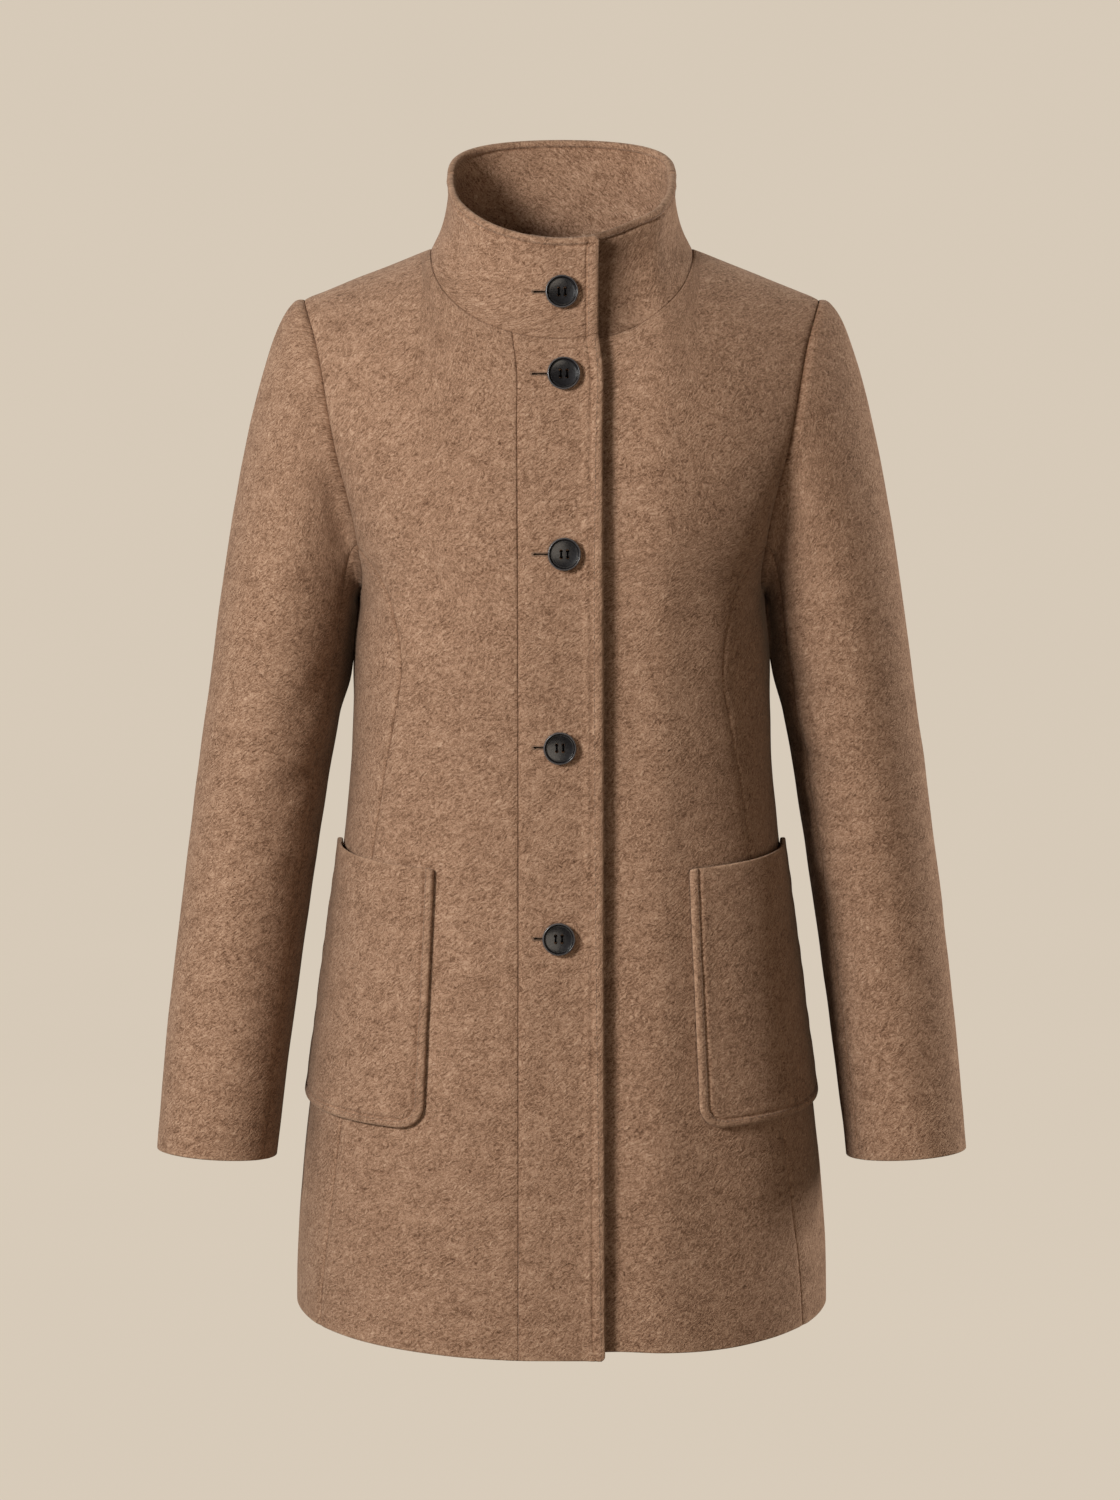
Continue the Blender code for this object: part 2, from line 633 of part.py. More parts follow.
# ================================================================== collar
def collar_line():
    """The neck seam from the collar's upper end, round the back, to its under end."""
    band_edge, band_seam = (coat_point(*front_edge(name)[-1])[0] for name in ("leading_edge", "seam"))
    parts = (
        neckline(band_edge, band_seam, BAND_STEPS),
        neckline(band_seam, -NECK_HALF, NECK_STEPS_RIGHT),
        neckline(-NECK_HALF, NECK_HALF, NECK_STEPS_BACK, True),
        neckline(NECK_HALF, UNDERLAP, NECK_STEPS_LEFT),
    )
    behind = np.concatenate([np.full(len(p) - (k > 0), k == 2) for k, p in enumerate(parts)])
    under = np.concatenate([np.full(len(p) - (k > 0), k == 3) for k, p in enumerate(parts)])
    return joined(*parts), behind, under


def collar_grid():
    curve, behind, under = collar_line()
    base = coat_point(curve[:, 0], curve[:, 1])
    normals = coat_normal(curve[:, 0], curve[:, 1])
    share_out = base[:, 0] / NECK_HALF
    top_x = base[:, 0] * (1 - (1 - COLLAR_HALF / NECK_HALF) * share_out ** 2)
    share = np.clip(np.abs(top_x) / COLLAR_HALF, 0.0, 1.0)
    facing = (1 - share ** COLLAR_SQUARE) ** (1 / COLLAR_SQUARE) * np.where(behind, -1.0, 1.0)
    top_y = np.where(facing > 0, -COLLAR_FRONT, -COLLAR_BACK) * facing
    angle = np.arctan2(share, facing)
    middle = (COLLAR_TOP_FRONT + COLLAR_TOP_BACK) / 2 - COLLAR_TOP_SIDE
    swing = (COLLAR_TOP_BACK - COLLAR_TOP_FRONT) / 2
    top_z = COLLAR_TOP_SIDE - swing * np.cos(angle) + middle * np.cos(angle) ** 2
    top = np.stack([top_x, top_y, top_z], -1)
    away = np.cross(normals, unit(np.gradient(base, axis=0)))
    away *= np.sign(np.sum(away * (top - base), -1, keepdims=True))
    start = base + SEAM_GAP / 2 * away
    rows = []
    for k in range(COLLAR_ROWS + 1):
        w = k / COLLAR_ROWS
        inwards = 1 - (1 - w) ** COLLAR_HOLLOW
        rows.append(start + (top - start) * np.array([inwards, inwards, w]))
    outer = np.stack(rows, 1)
    directions = grid_normals(outer)
    if directions[len(directions) // 2, 2, 1] < 0:
        directions = -directions
    directions[:, 0] = normals
    drop = np.where(under, under_drop(base[:, 0]), 0.0)[:, None, None]
    return outer - drop * directions, directions


def collar(wool):
    outer, directions = collar_grid()
    wall("collar", outer, outer - COLLAR_CLOTH * directions, wool)


# ================================================================== pockets
def with_corner(steps, size):
    """Shares along a pocket edge, closer together where its first corner is rounded."""
    corner = 1 - np.tan(np.linspace(math.pi / 4, 0.0, CORNER_STEPS + 1))
    corner *= POCKET_CORNER / size
    return np.concatenate([corner, np.linspace(corner[-1], 1.0, steps + 1)[1:]])


def pocket_grid():
    """The left pocket's places on the coat surface, with its lower inner corner rounded."""
    low, low_height = place(POCKET_INNER_BOTTOM, POCKET_BOTTOM)
    high, high_height = place(POCKET_INNER_TOP, POCKET_TOP - POCKET_TOP_FALL)
    outer_turn = math.radians(POCKET_OUTER_TURN)
    ends = coat_point(np.linspace(low, outer_turn, FINE), POCKET_BOTTOM)
    width = np.linalg.norm(np.diff(ends, axis=0), axis=1).sum()
    u = with_corner(POCKET_COLUMNS, width)[:, None]
    v = with_corner(POCKET_ROWS, POCKET_TOP - POCKET_BOTTOM)[None, :]
    inner_turn = low + (high - low) * v
    top = high_height + (POCKET_TOP - high_height) * u
    turn = inner_turn + (outer_turn - inner_turn) * u
    rise = low_height + (top - low_height) * v
    grid = np.stack([turn, rise], -1)
    round_corner(grid, (outer_turn - low) / width)
    return grid, u, v


def pockets(wool):
    for side, label in ((-1, "right"), (1, "left")):
        grid, u, v = pocket_grid()
        grid[..., 0] *= side
        normals = coat_normal(grid[..., 0], grid[..., 1])
        bow = np.sin(math.pi * np.clip(u, 0, 1)) ** MOUTH_FULLNESS * ease(v, MOUTH_FROM, 1.0)
        stand = POCKET_GAP + MOUTH_STANDS_OFF * bow[..., None]
        under = coat_point(grid[..., 0], grid[..., 1]) + stand * normals
        wall("pocket_" + label, under + POCKET_CLOTH * normals, under, wool)


def round_corner(grid, turn_size):
    """Slides the places in the corner's square onto arcs; turn_size is the turn for one metre."""
    scale = np.array([turn_size, 1.0])
    centre = grid[0, 0] + POCKET_CORNER * scale
    offset = (grid - centre) / scale
    inside = (offset < -1e-9).all(-1)
    reach = np.abs(offset[inside]).max(-1, keepdims=True)
    length = np.linalg.norm(offset[inside], axis=-1, keepdims=True)
    grid[inside] = centre + offset[inside] * reach / length * scale


# ================================================================== buttons
def button_mesh(horn):
    """One button: a turned blank with a dished middle, bored with four thread holes."""
    blank = bpy.data.meshes.new("button_blank")
    profile = [(BUTTON_RADIUS * share, 0.0, height) for share, height in BUTTON_PROFILE]
    blank.from_pydata(profile, [(k, k + 1) for k in range(len(profile) - 1)], [])
    body = bpy.data.objects.new("button_blank", blank)
    cutters.objects.link(body)
    turned = body.modifiers.new("turned", "SCREW")
    turned.steps = turned.render_steps = BUTTON_STEPS
    turned.use_merge_vertices = True
    turned.merge_threshold = TURNED_MERGE

    bm = bmesh.new()
    for k in range(4):
        angle = math.pi / 4 + k * math.pi / 2
        made = bmesh.ops.create_cone(bm, cap_ends=True, segments=HOLE_SIDES, radius1=HOLE_RADIUS,
                                     radius2=HOLE_RADIUS, depth=DRILL_LENGTH)
        shift = Vector((math.cos(angle), math.sin(angle), 0)) * HOLE_OFFSET * math.sqrt(2)
        bmesh.ops.translate(bm, verts=made["verts"], vec=shift)
    drill_mesh = bpy.data.meshes.new("thread_holes")
    bm.to_mesh(drill_mesh)
    bm.free()
    drill = bpy.data.objects.new("thread_holes", drill_mesh)
    cutters.objects.link(drill)
    bored = body.modifiers.new("bored", "BOOLEAN")
    bored.object = drill
    for helper in (body, drill):
        helper.hide_render = True
        helper.display_type = "WIRE"
    bpy.context.view_layer.update()
    graph = bpy.context.evaluated_depsgraph_get()
    mesh = bpy.data.meshes.new_from_object(body.evaluated_get(graph))
    mesh.name = "button"
    mesh.materials.clear()
    mesh.materials.append(horn)
    return mesh


def buttons(horn):
    mesh = button_mesh(horn)
    for name, height, x in BUTTONS:
        if name == "button_1":
            point, normal = collar_front(x, height)
        else:
            turn, rise = place(x, height)
            point, normal = coat_point(turn, rise), coat_normal(turn, rise)
        obj = new_object(name, mesh, horn)
        obj.location = point
        obj.rotation_mode = "QUATERNION"
        obj.rotation_quaternion = Vector(normal).to_track_quat("Z", "Y")


def collar_front(x, height):
    """The point and outward direction on the collar's upper end at (x, height)."""
    outer, directions = collar_grid()
    outer, directions = outer[:BAND_STEPS + 1], directions[:BAND_STEPS + 1]
    row_x = outer[:, :, 0].mean(1)
    order = np.argsort(row_x)
    blend = np.interp(x, row_x[order], np.arange(len(order))[order].astype(float))
    k = int(min(blend, BAND_STEPS - 1))
    line = outer[k] + (blend - k) * (outer[k + 1] - outer[k])
    normal = directions[k] + (blend - k) * (directions[k + 1] - directions[k])
    point = np.array([np.interp(height, line[:, 2], line[:, c]) for c in range(3)])
    facing = np.array([np.interp(height, line[:, 2], normal[:, c]) for c in range(3)])
    return point, unit(facing)


# ================================================================== the coat
def new_material(name, colour, roughness):
    material = bpy.data.materials.new(name)
    material.use_nodes = True
    shader = material.node_tree.nodes["Principled BSDF"]
    shader.inputs["Base Color"].default_value = colour
    shader.inputs["Roughness"].default_value = roughness
    shader.inputs["Metallic"].default_value = 0.0
    return material


def new_collection(name):
    collection = bpy.data.collections.new(name)
    bpy.context.scene.collection.children.link(collection)
    return collection


for old in list(bpy.data.objects):
    bpy.data.objects.remove(old, do_unlink=True)

coat = new_collection("funnel_neck_coat")
cutters = new_collection("cutters")
wool_cloth = new_material("brown_wool", WOOL, 0.92)
dark_horn = new_material("dark_horn", HORN, 0.30)

front_panels(wool_cloth)
back_panel(wool_cloth)
sleeves(wool_cloth)
collar(wool_cloth)
pockets(wool_cloth)
buttons(dark_horn)
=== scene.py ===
# %% [markdown]
# # A funnel-neck coat of brushed wool
#
# This notebook dresses the plain solids of a short wool coat. The coat keeps the hollow shape
# that it has when it is worn: open at the hem, the cuffs and the collar. Everything is in
# metres, +Z is up, the front looks towards -Y, and right and left are the wearer's own.
#
# The solids come first, as a fixed frame. Each cloth piece is then made again as a fine, thin
# shell on the same surface, with its seams, turned edges, stitching and folds.

# %% Load the solids and note their box
import math

import bmesh
import bpy
import numpy as np
from mathutils import Matrix, Vector, noise
from mathutils.bvhtree import BVHTree


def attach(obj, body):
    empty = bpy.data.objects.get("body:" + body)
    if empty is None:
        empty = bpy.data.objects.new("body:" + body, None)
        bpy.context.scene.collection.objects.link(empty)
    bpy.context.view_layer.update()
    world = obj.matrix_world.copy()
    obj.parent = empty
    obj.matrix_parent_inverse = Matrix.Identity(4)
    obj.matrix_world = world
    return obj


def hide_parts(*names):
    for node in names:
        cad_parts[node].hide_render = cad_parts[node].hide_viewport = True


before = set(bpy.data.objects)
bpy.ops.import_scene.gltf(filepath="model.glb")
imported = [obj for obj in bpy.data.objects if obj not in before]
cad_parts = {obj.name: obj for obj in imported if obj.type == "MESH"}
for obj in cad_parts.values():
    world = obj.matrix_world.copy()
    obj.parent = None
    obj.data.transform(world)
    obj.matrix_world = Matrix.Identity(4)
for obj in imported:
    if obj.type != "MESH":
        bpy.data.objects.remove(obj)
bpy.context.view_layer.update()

# %% [markdown]
# ## Camera, backdrop and light
#
# The picture is 1120 by 1500 pixels and one pixel is 0.74 mm at the coat, seen from 3.6 m away
# and a little above. A lens of that length keeps the sides of the coat nearly parallel.
#
# A studio sweep is one surface: a floor that bends up into a wall with no corner. Here it is a
# turned profile, so it stands all round the coat and every side is seen against the same paper.

# %% Small helpers for objects
def new_object(name, data):
    obj = bpy.data.objects.new(name, data)
    bpy.context.scene.collection.objects.link(obj)
    return obj


def mesh_object(name, points, faces):
    """An object of these points and faces, smooth."""
    mesh = bpy.data.meshes.new(name)
    mesh.from_pydata(np.asarray(points).tolist(), [], faces)
    mesh.shade_smooth()
    return new_object(name, mesh)


def turned_object(name, profile, steps):
    """A profile and the Screw modifier that turns it round the upright axis."""
    mesh = bpy.data.meshes.new(name)
    mesh.from_pydata(profile, [(k, k + 1) for k in range(len(profile) - 1)], [])
    obj = new_object(name, mesh)
    turned = obj.modifiers.new("turned", "SCREW")
    turned.steps = turned.render_steps = steps
    return obj, turned


def aim(obj, at, direction):
    obj.location = at
    obj.rotation_mode = "QUATERNION"
    obj.rotation_quaternion = direction.to_track_quat("-Z", "Y")


# %% The camera
CAMERA_DISTANCE = 3.6
CAMERA_RISE = math.radians(9.0)
PIXEL = 0.00074               # metres at the coat for one pixel of the picture
PICTURE_TALL = 1500
AIM = Vector((-0.0012, 0.0, -0.3693))
SENSOR = 36.0                 # the long side, in millimetres


def make_camera():
    data = bpy.data.cameras.new("camera")
    data.sensor_width = SENSOR
    data.lens = CAMERA_DISTANCE / (PIXEL * PICTURE_TALL) * SENSOR
    camera = new_object("camera", data)
    back = Vector((0.0, -math.cos(CAMERA_RISE), math.sin(CAMERA_RISE)))
    aim(camera, AIM + back * CAMERA_DISTANCE, -back)
    bpy.context.scene.camera = camera
    return camera


camera = make_camera()
print("camera at", [round(c, 3) for c in camera.location], "lens", round(camera.data.lens, 1), "mm")

# %% Small helpers for materials
def feed(tree, node, inputs):
    """Each input of a node is given a value, or is linked to a socket."""
    for name, value in inputs.items():
        if isinstance(value, bpy.types.NodeSocket):
            tree.links.new(value, node.inputs[name])
        else:
            node.inputs[name].default_value = value


def add_node(tree, kind, inputs=None, **settings):
    made = tree.nodes.new("ShaderNode" + kind)
    for name, value in settings.items():
        setattr(made, name, value)
    feed(tree, made, inputs or {})
    return made


def maths(tree, operation, *values, kind="Math"):
    """What a Math or VectorMath node makes of these values and sockets."""
    return add_node(tree, kind, dict(enumerate(values)), operation=operation).outputs[0]


def mix(tree, factor, a, b, blend="MIX"):
    inputs = {"Factor": factor, "A": a, "B": b}
    return add_node(tree, "Mix", inputs, data_type="RGBA", blend_type=blend).outputs["Result"]


def to_range(tree, value, low, high, to_low=0.0, to_high=1.0):
    inputs = {"Value": value, "From Min": low, "From Max": high, "To Min": to_low, "To Max": to_high}
    return add_node(tree, "MapRange", inputs).outputs["Result"]


def noise_value(tree, where, scale, detail, **more):
    inputs = {"Vector": where, "Scale": scale, "Detail": detail} | more
    return add_node(tree, "TexNoise", inputs).outputs["Fac"]


def object_place(tree):
    return add_node(tree, "TexCoord").outputs["Object"]


def relief_normal(tree, height, strength, distance):
    inputs = {"Height": height, "Strength": strength, "Distance": distance}
    return add_node(tree, "Bump", inputs).outputs["Normal"]


def new_material(name):
    """A material with its Principled shader, ready for nodes."""
    material = bpy.data.materials.new(name)
    material.use_nodes = True
    return material, material.node_tree, material.node_tree.nodes["Principled BSDF"]


# %% The backdrop
FLOOR = -1.38                 # the wearer's floor, below the shoulders
SWEEP_RADIUS = 7.0
SWEEP_BEND = 2.6              # radius of the bend between floor and wall
BEND_POINTS = 13
SWEEP_TOP = 5.0
SWEEP_STEPS = 96
PAPER = (0.015, 0.013, 0.011, 1.0)
PAPER_GLOW = (0.674, 0.588, 0.481, 1.0)
PAPER_UNEVEN = (0.985, 1.015)
PAPER_CLOUDS = 1.3            # clouds in a metre


def paper_material():
    """Paper lit from behind, as in a light tent, so that it is the same pale tone all over."""
    material, tree, shader = new_material("backdrop_paper")
    clouds = noise_value(tree, object_place(tree), PAPER_CLOUDS, 2.0)
    uneven = to_range(tree, clouds, 0.0, 1.0, *PAPER_UNEVEN)
    feed(tree, shader, {
        "Base Color": mix(tree, 1.0, PAPER, uneven, "MULTIPLY"),
        "Emission Color": mix(tree, 1.0, PAPER_GLOW, uneven, "MULTIPLY"),
        "Emission Strength": 1.0, "Roughness": 1.0, "Specular IOR Level": 0.0,
    })
    return material


def make_backdrop():
    foot = SWEEP_RADIUS - SWEEP_BEND
    profile = [(0.0, 0.0, FLOOR)]
    for a in np.linspace(-math.pi / 2, 0.0, BEND_POINTS):
        profile.append((foot + SWEEP_BEND * math.cos(a), 0.0, FLOOR + SWEEP_BEND * (1 + math.sin(a))))
    profile.append((SWEEP_RADIUS, 0.0, SWEEP_TOP))
    sweep, turned = turned_object("backdrop", profile, SWEEP_STEPS)
    turned.use_smooth_shade = True
    sweep.data.materials.append(paper_material())
    # its glow doesn't light the coat or show in the buttons; the lamps and sky do
    sweep.visible_diffuse = sweep.visible_glossy = sweep.visible_shadow = False
    return sweep


backdrop = make_backdrop()
print("backdrop radius", SWEEP_RADIUS, "m, floor at", FLOOR)

# %% The lights
# name, place, width of the square, watts, colour
LIGHTS = (
    ("key", (-2.06, -2.22, 0.86), 0.8, 111.0, (1.0, 0.985, 0.955)),
    ("front", (1.0, -3.8, -0.35), 2.0, 37.0, (1.0, 0.88, 0.74)),
    ("side", (2.9, 1.45, 0.2), 1.0, 96.0, (1.0, 0.96, 0.90)),
    ("rim", (-1.6, 2.4, 1.6), 1.4, 36.0, (1.0, 0.97, 0.94)),
)
LIGHT_AIM = Vector((0.0, 0.0, -0.30))
SKY_COLOUR = (1.0, 0.78, 0.56, 1.0)
SKY_STRENGTH = 0.052


def make_lights():
    for name, at, width, watts, colour in LIGHTS:
        data = bpy.data.lights.new(name, "AREA")
        data.size = width
        data.energy = watts
        data.color = colour
        light = new_object(name, data)
        light.visible_camera = False
        aim(light, at, LIGHT_AIM - Vector(at))
    world = bpy.data.worlds.new("studio")
    world.use_nodes = True
    sky = world.node_tree.nodes["Background"]
    feed(world.node_tree, sky, {"Color": SKY_COLOUR, "Strength": SKY_STRENGTH})
    bpy.context.scene.world = world


make_lights()
bpy.context.scene.view_settings.view_transform = "Standard"
print("lights:", [row[0] for row in LIGHTS])

# %% [markdown]
# ## The surface that all body pieces share
#
# A tailor pins flat pieces on a stand until they meet in one smooth surface. The same idea works
# here: one formula gives the whole surface of the coat's body, and every piece is a patch of it.
# So neighbours meet exactly, and a piece can be made as fine as its stitching needs.
#
# A place on the surface has a `turn`, the angle round the body from the centre front, and a
# `rise`, the height, which runs on over the shoulder as if the cloth were unrolled. The sections
# are rounded rectangles read smoothly from a short table, and the shoulders are a dome over them.

# %% Reading short tables
def table(names, *rows):
    """The columns of a short table, by name."""
    return dict(zip(names.split(), np.array(rows, float).T))


def smooth_read(keys, values, at):
    keys = np.asarray(keys, float)
    values = np.asarray(values, float)
    slopes = np.gradient(values, keys)
    i = np.clip(np.searchsorted(keys, at) - 1, 0, len(keys) - 2)
    span = keys[i + 1] - keys[i]
    t = np.clip((at - keys[i]) / span, 0.0, 1.0)
    start = (1 + 2 * t) * (1 - t) ** 2
    end = t * t * (3 - 2 * t)
    bend = span * (t * (1 - t) ** 2 * slopes[i] - t * t * (1 - t) * slopes[i + 1])
    return start * values[i] + end * values[i + 1] + bend


def read_evenly(values, count):
    """A row of values, read smoothly at evenly spread places."""
    knots = np.arange(len(values), dtype=float)
    return smooth_read(knots, values, np.linspace(0.0, knots[-1], count))


def read_rows(at, keys, rows):
    """Rows of values, read in straight steps between their keys."""
    return np.stack([np.interp(at, keys, values) for values in np.asarray(rows).T], -1)


def ease(x, start, end):
    """0 up to start, 1 from end on, with a soft S between them."""
    t = np.clip((x - start) / (end - start), 0.0, 1.0)
    return t * t * (3 - 2 * t)


def unit(vectors):
    return vectors / np.maximum(np.linalg.norm(vectors, axis=-1, keepdims=True), 1e-12)


# %% Sizes of the body
HEM = -0.783
HEM_DIP = 0.009
NECK_HALF = 0.095
SHOULDER_END = 0.1875
SHOULDER_SLOPE = 0.405
NECK_ROUNDING = 0.030
DOME_FRONT, DOME_BACK = 0.110, 0.100
SETTLING = 6

BODY = table(
    "height half_width front back square_front square_back",
    (-0.795, 0.1990, 0.156, 0.146, 2.35, 2.25),
    (-0.740, 0.1975, 0.154, 0.145, 2.35, 2.25),
    (-0.690, 0.1938, 0.152, 0.143, 2.35, 2.25),
    (-0.630, 0.1872, 0.149, 0.140, 2.40, 2.30),
    (-0.560, 0.1780, 0.145, 0.135, 2.40, 2.30),
    (-0.490, 0.1685, 0.140, 0.126, 2.40, 2.30),
    (-0.430, 0.1605, 0.136, 0.116, 2.40, 2.30),
    (-0.380, 0.1555, 0.134, 0.111, 2.40, 2.30),
    (-0.330, 0.1532, 0.134, 0.112, 2.40, 2.30),
    (-0.285, 0.1508, 0.135, 0.116, 2.40, 2.30),
    (-0.252, 0.1480, 0.135, 0.120, 2.40, 2.30),
    (-0.230, 0.1500, 0.134, 0.122, 2.40, 2.30),
    (-0.200, 0.1610, 0.131, 0.123, 2.40, 2.30),
    (-0.150, 0.1800, 0.122, 0.121, 2.40, 2.30),
    (-0.100, 0.1945, 0.110, 0.114, 2.40, 2.30),
    (-0.050, 0.2060, 0.098, 0.102, 2.40, 2.30),
    (0.000, 0.2130, 0.088, 0.088, 2.40, 2.30),
    (0.040, 0.2160, 0.082, 0.080, 2.40, 2.30),
)


# %% The surface itself
def body_value(name, height):
    return smooth_read(BODY["height"], BODY[name], height)


def squareness(height, behind):
    """The power of a rounded section: 2 would be an ellipse."""
    return np.where(behind, body_value("square_back", height), body_value("square_front", height))


def reach_of(turn, n):
    """How far a rounded square of half width 1 reaches in these directions."""
    return (np.abs(np.sin(turn)) ** n + np.abs(np.cos(turn)) ** n) ** (-1 / n)


def ridge(x):
    """Height of the shoulder line at the distance x from the centre."""
    return SHOULDER_SLOPE * (math.hypot(NECK_HALF, NECK_ROUNDING) - np.hypot(x, NECK_ROUNDING))


def coat_point(turn, rise):
    """The point of the coat surface at a turn and a rise."""
    turn, rise = np.broadcast_arrays(np.asarray(turn, float), np.asarray(rise, float))
    behind = np.abs((turn + math.pi) % (2 * math.pi) - math.pi) > math.pi / 2
    dome = np.where(behind, DOME_BACK, DOME_FRONT)
    height = rise
    for _ in range(SETTLING):
        reach = reach_of(turn, squareness(height, behind))
        x = body_value("half_width", height) * np.sin(turn) * reach
        foot = ridge(x) - dome
        over = np.maximum((rise - foot) / dome, 0.0)
        height = np.where(over > 0, foot + dome * np.sin(over), rise)
    depth = np.where(behind, body_value("back", height), body_value("front", height))
    return np.stack([x, -depth * np.cos(turn) * reach * np.cos(over), height], -1)


def coat_normal(turn, rise, step=2e-4):
    across = coat_point(turn + step, rise) - coat_point(turn - step, rise)
    up = coat_point(turn, rise + step) - coat_point(turn, rise - step)
    return unit(np.cross(across, up))


def unrolled(x, height, behind):
    dome = DOME_BACK if behind else DOME_FRONT
    foot = ridge(x) - dome
    over = np.arcsin(np.clip((height - foot) / dome, -1.0, 1.0))
    return np.where(height > foot, foot + dome * over, height)


def place(x, height, behind=False):
    """Turn and rise of the point seen from the front at (x, height)."""
    x, height = np.broadcast_arrays(np.asarray(x, float), np.asarray(height, float))
    n = squareness(height, behind)
    share = np.clip(np.abs(x) / body_value("half_width", height), 0.0, 1.0)
    turn = np.arctan2(share, (1 - share ** n) ** (1 / n))
    turn = np.where(x < 0, -1.0, 1.0) * (math.pi - turn if behind else turn)
    return np.stack([turn, unrolled(x, height, behind)], -1)


print("waist half width", round(float(coat_point(math.pi / 2, -0.33)[0]), 4), "m")

# %% [markdown]
# ## Seam lines
#
# Every edge of a piece is a curve of (turn, rise) places: the neckline, the shoulders, the
# armholes, the princess seams that shape the bust, the side seams and the hem. Each is drawn
# from a few sizes, seen from the front as a pattern cutter would mark them.

# %% Sizes of the seams
NECK_DROP_FRONT = 0.0577
NECK_BACK = 0.052
NECK_BACK_SQUARE = 2.3
BAND = table(
    "height seam leading_edge",
    (-0.792, -0.0314, 0.0314),
    (-0.528, -0.0312, 0.0304),
    (-0.349, -0.0311, 0.0301),
    (-0.117, -0.0318, 0.0292),
    (-0.076, -0.0322, 0.0292),
    (-0.055, -0.0352, 0.0262),
)
UNDERLAP = -0.024
LAP_DROP = 0.0068
LAP_EASE = (0.036, 0.078)
HEM_LIFT = 0.0048
HEM_LIFT_ENDS = (0.035, 0.130)
PRINCESS = table(
    "height out",
    (-0.787, 0.1780),
    (-0.745, 0.1752),
    (-0.690, 0.1685),
    (-0.640, 0.1622),
    (-0.530, 0.1485),
    (-0.420, 0.1355),
    (-0.364, 0.1266),
    (-0.331, 0.1205),
    (-0.294, 0.1156),
    (-0.258, 0.1205),
    (-0.230, 0.1318),
    (-0.209, 0.1480),
)
ARMHOLE_FRONT = table("turn height", (56.6, -0.064), (56.7, -0.100), (58.8, -0.1425), (63.0, -0.184),
                      (67.8, -0.216), (76.0, -0.2425), (90.0, -0.252))
ARMHOLE_BACK = table("turn height", (120.5, -0.066), (120.0, -0.100), (118.5, -0.145), (114.5, -0.190),
                     (109.5, -0.224), (101.0, -0.2455), (90.0, -0.252))
PRINCESS_AT = 0.74            # share of the front armhole above the princess seam
HIND_SEAM_AT = 0.27           # share of the back armhole below the hind arm seam
FINE = 600                    # points in a curve before it is read at the piece's own steps


# %% Measuring and re-reading a curve
def cloth_length(curve):
    points = coat_point(curve[:, 0], curve[:, 1])
    return np.concatenate([[0.0], np.cumsum(np.linalg.norm(np.diff(points, axis=0), axis=1))])


def along(curve, shares):
    """A curve of (turn, rise) places, read at these shares of its length on the cloth."""
    length = cloth_length(curve)
    return read_rows(np.asarray(shares) * length[-1], length, curve)


def joined(curves):
    """Curves that follow each other, as one, with each shared end kept once."""
    return np.concatenate([curves[0]] + [curve[1:] for curve in curves[1:]])


def cut_at(curve, share):
    fine = along(curve, np.linspace(0, 1, FINE + 1))
    cut = int(round(share * FINE))
    return fine[:cut + 1], fine[cut:]


# %% The seam curves
def hem_height(turn):
    return HEM - HEM_DIP * np.maximum(np.cos(turn), 0.0) ** 2


def neckline(x_from, x_to, behind=False):
    ends = math.asin(x_from / NECK_HALF), math.asin(x_to / NECK_HALF)
    x = NECK_HALF * np.sin(np.linspace(*ends, FINE))
    across = np.abs(x) / NECK_HALF
    if not behind:
        return place(x, -NECK_DROP_FRONT * np.sqrt(np.maximum(1 - across ** 2, 0.0)))
    back = NECK_BACK * np.maximum(1 - across ** NECK_BACK_SQUARE, 0.0) ** (1 / NECK_BACK_SQUARE)
    height = np.zeros_like(x)
    for _ in range(SETTLING):
        n = body_value("square_back", height)
        share = np.abs(x) / body_value("half_width", height)
        depth = body_value("back", height) * (1 - share ** n) ** (1 / n)
        over = np.arccos(np.clip(back / depth, 0.0, 1.0))
        height = ridge(x) - DOME_BACK + DOME_BACK * np.sin(over)
    curve = place(x, height, True)
    curve[:, 0] %= 2 * math.pi
    return curve


def shoulder(side, behind=False):
    """The shoulder seam, from the neck outwards."""
    x = side * np.linspace(NECK_HALF, SHOULDER_END, FINE)
    return place(x, ridge(x), behind)


def armhole_half(side, behind):
    rows = ARMHOLE_BACK if behind else ARMHOLE_FRONT
    start = place(SHOULDER_END, ridge(SHOULDER_END), behind)
    turn = read_evenly(np.append(start[0], np.radians(rows["turn"])), FINE)
    height = read_evenly(np.append(ridge(SHOULDER_END), rows["height"]), FINE)
    x = body_value("half_width", height) * np.sin(turn) * reach_of(turn, squareness(height, behind))
    return np.stack([side * turn, unrolled(x, height, behind)], -1)


def armhole(side):
    """The armhole's ring in four stretches: front high, front low, back low, back high."""
    front_high, front_low = cut_at(armhole_half(side, False), PRINCESS_AT)
    back_low, back_high = cut_at(armhole_half(side, True)[::-1], HIND_SEAM_AT)
    return front_high, front_low, back_low, back_high


def princess(side):
    """The seam over the bust, from the hem to the armhole."""
    end = armhole(side)[0][-1]
    top = coat_point(end[0], end[1])
    keys, out = PRINCESS["height"].copy(), PRINCESS["out"].copy()
    keys[-1], out[-1] = top[2], abs(top[0])
    low = hem_height(place(out[0], keys[0])[0])
    height = np.linspace(low, top[2], FINE)
    return place(side * smooth_read(keys, out, height), height)


def side_seam(side):
    height = np.linspace(HEM, ARMHOLE_FRONT["height"][-1], FINE)
    return np.stack([np.full(FINE, side * math.pi / 2), height], -1)


def front_edge(x, height):
    """A front edge in two stretches, below and above the level where the princess seam ends."""
    share = (PRINCESS["height"][-1] - height[0]) / (height[-1] - height[0])
    return cut_at(place(x, height), share)


